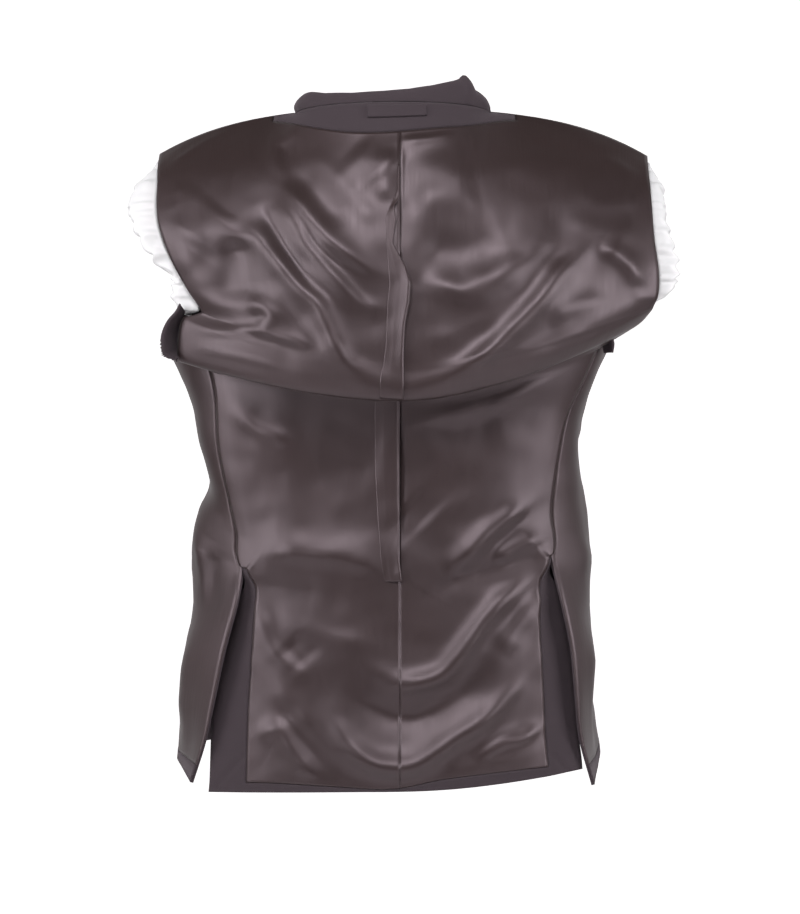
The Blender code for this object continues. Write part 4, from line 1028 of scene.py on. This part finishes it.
# How far out the white lining of each sleeve swells.
puffRows = {
    # height, distance from the centre
    "left": [(-8, 243), (-21, 250), (-31, 260), (-45, 265), (-58, 267), (-69, 265), (-84, 260), (-98, 255),
             (-111, 247), (-119, 242), (-130, 230), (-137, 222), (-163, 219), (-172, 214), (-177, 212),
             (-184, 200), (-210, 180)],
    "right": [(-4, 248), (-20, 255), (-34, 261), (-75, 260), (-110, 268), (-137, 272), (-154, 268),
              (-163, 258), (-172, 230), (-180, 208), (-190, 196), (-210, 178)],
}


def armholeRing(side, front):
    column = 0 if side < 0 else wide
    down = back[:rowStart(backSteps, foldEdge - 1) + 1, column]
    bend = frontColumns * fine
    lastSide = (frontColumns + sideColumns - 1) * fine
    foot = front[topCount, lastSide:bend:-1]
    rise = front[topCount:0:-1, bend]
    ring = np.concatenate([down, foot, rise])
    closed = np.concatenate([ring, ring[:1]])
    length = lengthAlong(closed)
    even = respaced(closed, np.arange(ringPoints) / ringPoints * length[-1], length)
    for turn in range(easing["ringTurns"]):
        even[:, 0] = (np.roll(even[:, 0], 1) + 2 * even[:, 0] + np.roll(even[:, 0], -1)) / 4
    return even


def easedRing(ring, toward):
    # the armhole as a plain oval, without its small bends
    turn = np.arctan2(toward[:, 1], toward[:, 0])
    plain = np.stack([np.ones(len(turn)), np.cos(turn), np.sin(turn), np.cos(2 * turn), np.sin(2 * turn)],
                     axis=1)
    return plain @ np.linalg.lstsq(plain, ring, rcond=None)[0]


# Mouth of a sleeve: limits of how far it moves in and out, and how wool turns in low on the armhole.
mouthSizes = {"mostIn": 0.6, "leastOut": 0.8, "leastIn": 7.0, "turnIn": 9.0, "turnTop": -168, "turnRun": 10}
puffSteps = [
    # further in, gathers in, share of the swell, gathers out, share of a plain oval
    (0.8, 1.6, 0.62, 1.3, 0.0),
    (6.0, 2.0, 1.0, 2.2, 0.15),
    (15.0, 1.5, 0.8, 1.8, 0.4),
]


def gathers(at):
    # uneven gathers round the armhole, about 31 of them
    beat = 31 * at
    for size, count, start in ((1.6, 3, 1), (1.1, 7, 0), (0.6, 13, 2)):
        beat += size * np.sin(count * at + start)
    main = np.sin(beat) * (0.75 + 0.35 * np.sin(5 * at + 0.6))
    return main + 0.4 * np.sin(1.7 * beat + 2 * np.sin(2 * at))


# Bend from the mouth into the hanging tube, and how the tube narrows and leans forward.
tubeSizes = {"drop": 60.0, "stepIn": 34.0, "share": 0.6, "start": 6, "startDrop": 0.25, "narrow": 0.12,
             "forward": 6}


def sleeveSurface(side, ring, inset, tubeInset, puff):
    centre = ring.mean(axis=0)
    flat = ring[:, 1:] - centre[1:]
    radius = np.linalg.norm(flat, axis=1)
    toward = flat / radius[:, None]
    plain = easedRing(ring, toward)

    def moved(into, out, ease=0.0):
        points = ring * (1 - ease) + plain * ease
        points[:, 1:] -= toward * np.minimum(into, radius * mouthSizes["mostIn"])[:, None]
        reach = np.abs(points[:, 0]) + out
        atEdge = np.abs(ring[:, 0])
        swollen = np.maximum(reach, atEdge + out * mouthSizes["leastOut"])
        drawnIn = np.minimum(reach, atEdge - mouthSizes["leastIn"])
        points[:, 0] = side * np.where(out >= 0, swollen, drawnIn)
        return points

    rows = []
    if puff:
        stops = np.array(puffRows[puff])
        swell = np.interp(-ring[:, 2], -stops[:, 0], stops[:, 1]) - np.abs(ring[:, 0])
        gather = gathers(np.arange(len(ring)) / len(ring) * 2 * math.pi)
        rise = np.clip(swell / 10, 0.15, 1)
        rows.append(moved(inset + 0.5 * gather, np.minimum(swell, 0.4)))
        for into, pressed, out, lifted, ease in puffSteps:
            rows.append(moved(inset + into + pressed * gather, swell * out + lifted * gather * rise, ease))
    else:
        turned = mouthSizes["turnIn"]
        below = np.clip((mouthSizes["turnTop"] - ring[:, 2]) / mouthSizes["turnRun"], 0, 1)
        rows.append(moved(np.full(len(ring), inset), -turned * below))
        rows.append(moved(np.full(len(ring), inset + turned), np.full(len(ring), -turned), 0.55))
    halfWidth = sleeveSizes["halfWidth"] - tubeInset
    halfDepth = sleeveSizes["halfDepth"] - tubeInset
    base = rows[-1]
    target = np.stack([side * (sleeveSizes["centre"] - halfWidth * toward[:, 1]),
                       halfDepth * toward[:, 0], np.full(len(ring), sleeveSizes["top"])], axis=1)
    zero = np.zeros(len(ring))
    for t in (0.25, 0.5, 0.75, 1.0):
        drop = np.minimum(tubeSizes["drop"], (base[:, 2] - sleeveSizes["top"]) * tubeSizes["share"])
        stepIn = np.minimum(tubeSizes["stepIn"], tubeSizes["share"] * np.abs(base[:, 0] - target[:, 0]))
        innerPoint = base + np.stack([-side * stepIn, -toward[:, 0] * tubeSizes["start"],
                                      -drop * tubeSizes["startDrop"]], axis=1)
        above = target + np.stack([zero, zero, drop], axis=1)
        rows.append((1 - t) ** 3 * base + 3 * (1 - t) ** 2 * t * innerPoint
                    + 3 * (1 - t) * t ** 2 * above + t ** 3 * target)
    for k in (1, 2, 3):
        t = k / 3
        down = target.copy()
        down[:, 2] = sleeveSizes["top"] + (sleeveSizes["cuff"] - sleeveSizes["top"]) * t
        down[:, 1] = target[:, 1] * (1 - tubeSizes["narrow"] * t) + tubeSizes["forward"] * t
        rows.append(down)
    return np.array(rows)


for word, side in (("left", -1), ("right", 1)):
    ring = armholeRing(side, fronts[word][0])
    flip = side > 0
    shell = sleeveSurface(side, ring, sleeveSizes["mouthInset"], 0.0, None)
    shellOut = gridNormals(shell, flip=flip, ring=True)
    puffed = sleeveSurface(side, ring, sleeveSizes["liningInset"], sleeveSizes["tubeGap"], word)
    inside = np.concatenate([puffed[:4], shell[1:] + shellOut[1:] * sleeveSizes["tubeGap"]])
    for name, rows, thick, material in (("sleeve_", shell, cloth["wool"], suitCloth),
                                        ("sleeve_lining_", inside, cloth["sleeveLining"], sleeveCloth)):
        tube = throughRows(rows, [rowStep] * (len(rows) - 1))
        out = gridNormals(tube, flip=flip, ring=True)
        wall(name + word, tube, out, whole(tube, ring=True), flip, -thick / 2, thick / 2, material,
             inset=0.0, ring=True)
print("sleeves made")


# Ends of the wool seam that curl out below each armhole, with a pinked edge.
seamEnds = {
    "left": {"node": "sleeve_left", "depth": (-72, -90), "teeth": 3.2,
             "inner": [(-207, -175), (-214, -184), (-217, -196), (-216.5, -206), (-214, -216)],
             "outer": [(-213.0, -165), (-217.5, -173), (-224.5, -181), (-229.5, -191), (-231.5, -201),
                       (-230.5, -211), (-228, -216), (-216, -220)]},
    "right": {"node": "sleeve_right", "depth": (-68, -79), "teeth": 0.0,
              "inner": [(197, -200), (198, -206), (199.5, -212)],
              "outer": [(206, -196), (208, -203), (207, -212)]},
}
# How an end curls: share of its depth that is reached at each share of its width, bow along it.
seamCurl = {"across": (0, 0.3, 0.5, 0.7, 0.85, 1), "reached": (0, 0.45, 0.75, 0.95, 1.0, 0.85), "bow": 5,
            "halfThick": 0.7}
for word, sizes in seamEnds.items():
    span = np.linspace(0, 1, 48)
    lines = []
    for key in ("inner", "outer"):
        line = smoothLine(sizes[key], 8)
        lines.append(respaced(line, np.linspace(0, len(line) - 1, len(span)), np.arange(len(line))))
    teeth = sizes["teeth"] * (2 * np.abs((span * 21) % 1 - 0.5) - 0.5) * np.clip((span - 0.55) / 0.1, 0, 1)
    across = np.linspace(0, 1, 14)
    points = np.zeros((len(span), len(across), 3))
    away = unit(lines[1] - lines[0])
    depths = np.interp(seamCurl["reached"], (0, 1), sizes["depth"])
    for n, a in enumerate(across):
        flat = lines[0] * (1 - a) + lines[1] * a + away * (teeth * a ** 6)[:, None]
        points[:, n, 0], points[:, n, 2] = flat[:, 0], flat[:, 1]
        points[:, n, 1] = np.interp(a, seamCurl["across"], depths) + seamCurl["bow"] * (span - 0.4) ** 2
    flip = word == "left"
    out = gridNormals(points, flip=flip)
    end = wall("seam_end_" + word, points, out, whole(points), flip, -seamCurl["halfThick"],
               seamCurl["halfThick"], suitCloth, inset=0.0, node=sizes["node"])
print("seam ends made")


# Each kind of piece: slot, flat width and length in metres, how it is held.
sheets = {
    "shell_back": ("suit_wool", 0.255, 0.76, "hung"),
    "lining_back": ("body_lining", 0.245, 0.74, "hung"),
    "turn_up_back": ("suit_wool", 0.022, 0.45, "folded"),
    "facing_back": ("suit_wool", 0.24, 0.036, "hung"),
    "shell_front": ("suit_wool", 0.30, 0.74, "hung"),
    "facing_front": ("suit_wool", 0.055, 0.72, "hung"),
    "lining_front": ("body_lining", 0.25, 0.70, "hung"),
    "turn_up_front": ("suit_wool", 0.012, 0.345, "folded"),
    "collar": ("suit_wool", 0.50, 0.062, "folded"),
    "lapel": ("suit_wool", 0.075, 0.26, "folded"),
    "hanger": ("suit_wool", 0.0135, 0.058, "hung"),
    "pleat_upper": ("body_lining", 0.02, 0.19, "folded"),
    "pleat_lower": ("body_lining", 0.030, 0.195, "folded"),
    "sleeve_lining": ("sleeve_lining", 0.42, 0.46, "gathered"),
    "sleeve": ("suit_wool", 0.40, 0.42, "hung"),
}
triangles = 0
for name, (piece, area) in pieces.items():
    slot, width, length, held = sheets[next(key for key in sheets if name.startswith(key))]
    count = sum(len(face.vertices) - 2 for face in piece.data.polygons)
    triangles += count
    print("sheet", name, round(area, 4), round(area / (width * length), 2), "of the cut,", count, "triangles")
print("all sheets", triangles, "triangles")


# Studio: pale floor, pale surround and soft lights.
def lightPanel(name, place, aim, size, power):
    data = bpy.data.lights.new(name, "AREA")
    data.shape = "RECTANGLE"
    data.size, data.size_y = size
    data.energy = power
    lamp = bpy.data.objects.new(name, data)
    lamp.location = place
    direction = unit(np.array(aim, float) - np.array(place, float))
    pitch = math.acos(-direction[2])
    lamp.rotation_euler = (pitch, 0.0, math.atan2(direction[1], direction[0]) - math.pi / 2)
    lamp.visible_camera = False
    bpy.context.scene.collection.objects.link(lamp)


lights = {
    # place, aim, width and height, power
    "keyLight": ((-0.4, -1.9, 1.75), (0, 0, -0.3), (1.7, 1.1), 58),
    "frontLight": ((0.3, -3.0, -0.1), (0, 0, -0.3), (1.0, 1.0), 1),
    "leftLight": ((-2.3, -1.1, 0.2), (0, 0, -0.3), (1.0, 1.6), 46),
    "rightLight": ((2.3, -1.1, 0.2), (0, 0, -0.3), (1.0, 1.6), 48),
    "wallLight": ((0.0, 2.9, 0.0), (0, 0, 0), (6.0, 5.0), 80),
}
studio = {"surround": 0.97, "ambient": 0.06, "radius": 7, "low": -4.0, "high": 5.0, "corners": 48}
for name, (place, aim, size, power) in lights.items():
    lightPanel(name, place, aim, size, power)
bpy.context.scene.view_settings.view_transform = "Standard"


def plainStage(name, points, faces, colour, glow):
    # a stage surface; with glow it is a pale surround that only the camera sees
    data = bpy.data.meshes.new(name)
    data.from_pydata(points, [], faces)
    made = bpy.data.materials.new(name + "Paint")
    made.use_nodes = True
    shader = made.node_tree.nodes["Principled BSDF"]
    setInputs(shader, {"Base Color": colour, "Roughness": 0.9, "Emission Color": colour,
                       "Emission Strength": glow})
    data.materials.append(made)
    stage = bpy.data.objects.new(name, data)
    bpy.context.scene.collection.objects.link(stage)
    if glow:
        for ray in ("diffuse", "glossy", "shadow", "transmission"):
            setattr(stage, "visible_" + ray, False)


plainStage("floor", [(-2, -2, -1.25), (2, -2, -1.25), (2, 2, -1.25), (-2, 2, -1.25)], [(0, 1, 2, 3)],
           (0.85, 0.84, 0.84, 1), 0.0)
corners = studio["corners"]
turns = np.arange(corners) * 2 * math.pi / corners
surround = [(studio["radius"] * math.cos(t), studio["radius"] * math.sin(t), z)
            for z in (studio["low"], studio["high"]) for t in turns]
faces = [(k, (k + 1) % corners, corners + (k + 1) % corners, corners + k) for k in range(corners)]
faces += [tuple(range(corners)), tuple(range(corners, 2 * corners))]
plainStage("surround", surround, faces, (1.0, 0.985, 0.985, 1), studio["surround"])
world = bpy.data.worlds.new("studio")
world.use_nodes = True
world.node_tree.nodes["Background"].inputs[0].default_value = (1.0, 0.99, 0.99, 1)
world.node_tree.nodes["Background"].inputs[1].default_value = studio["ambient"]
bpy.context.scene.world = world
print("studio made")
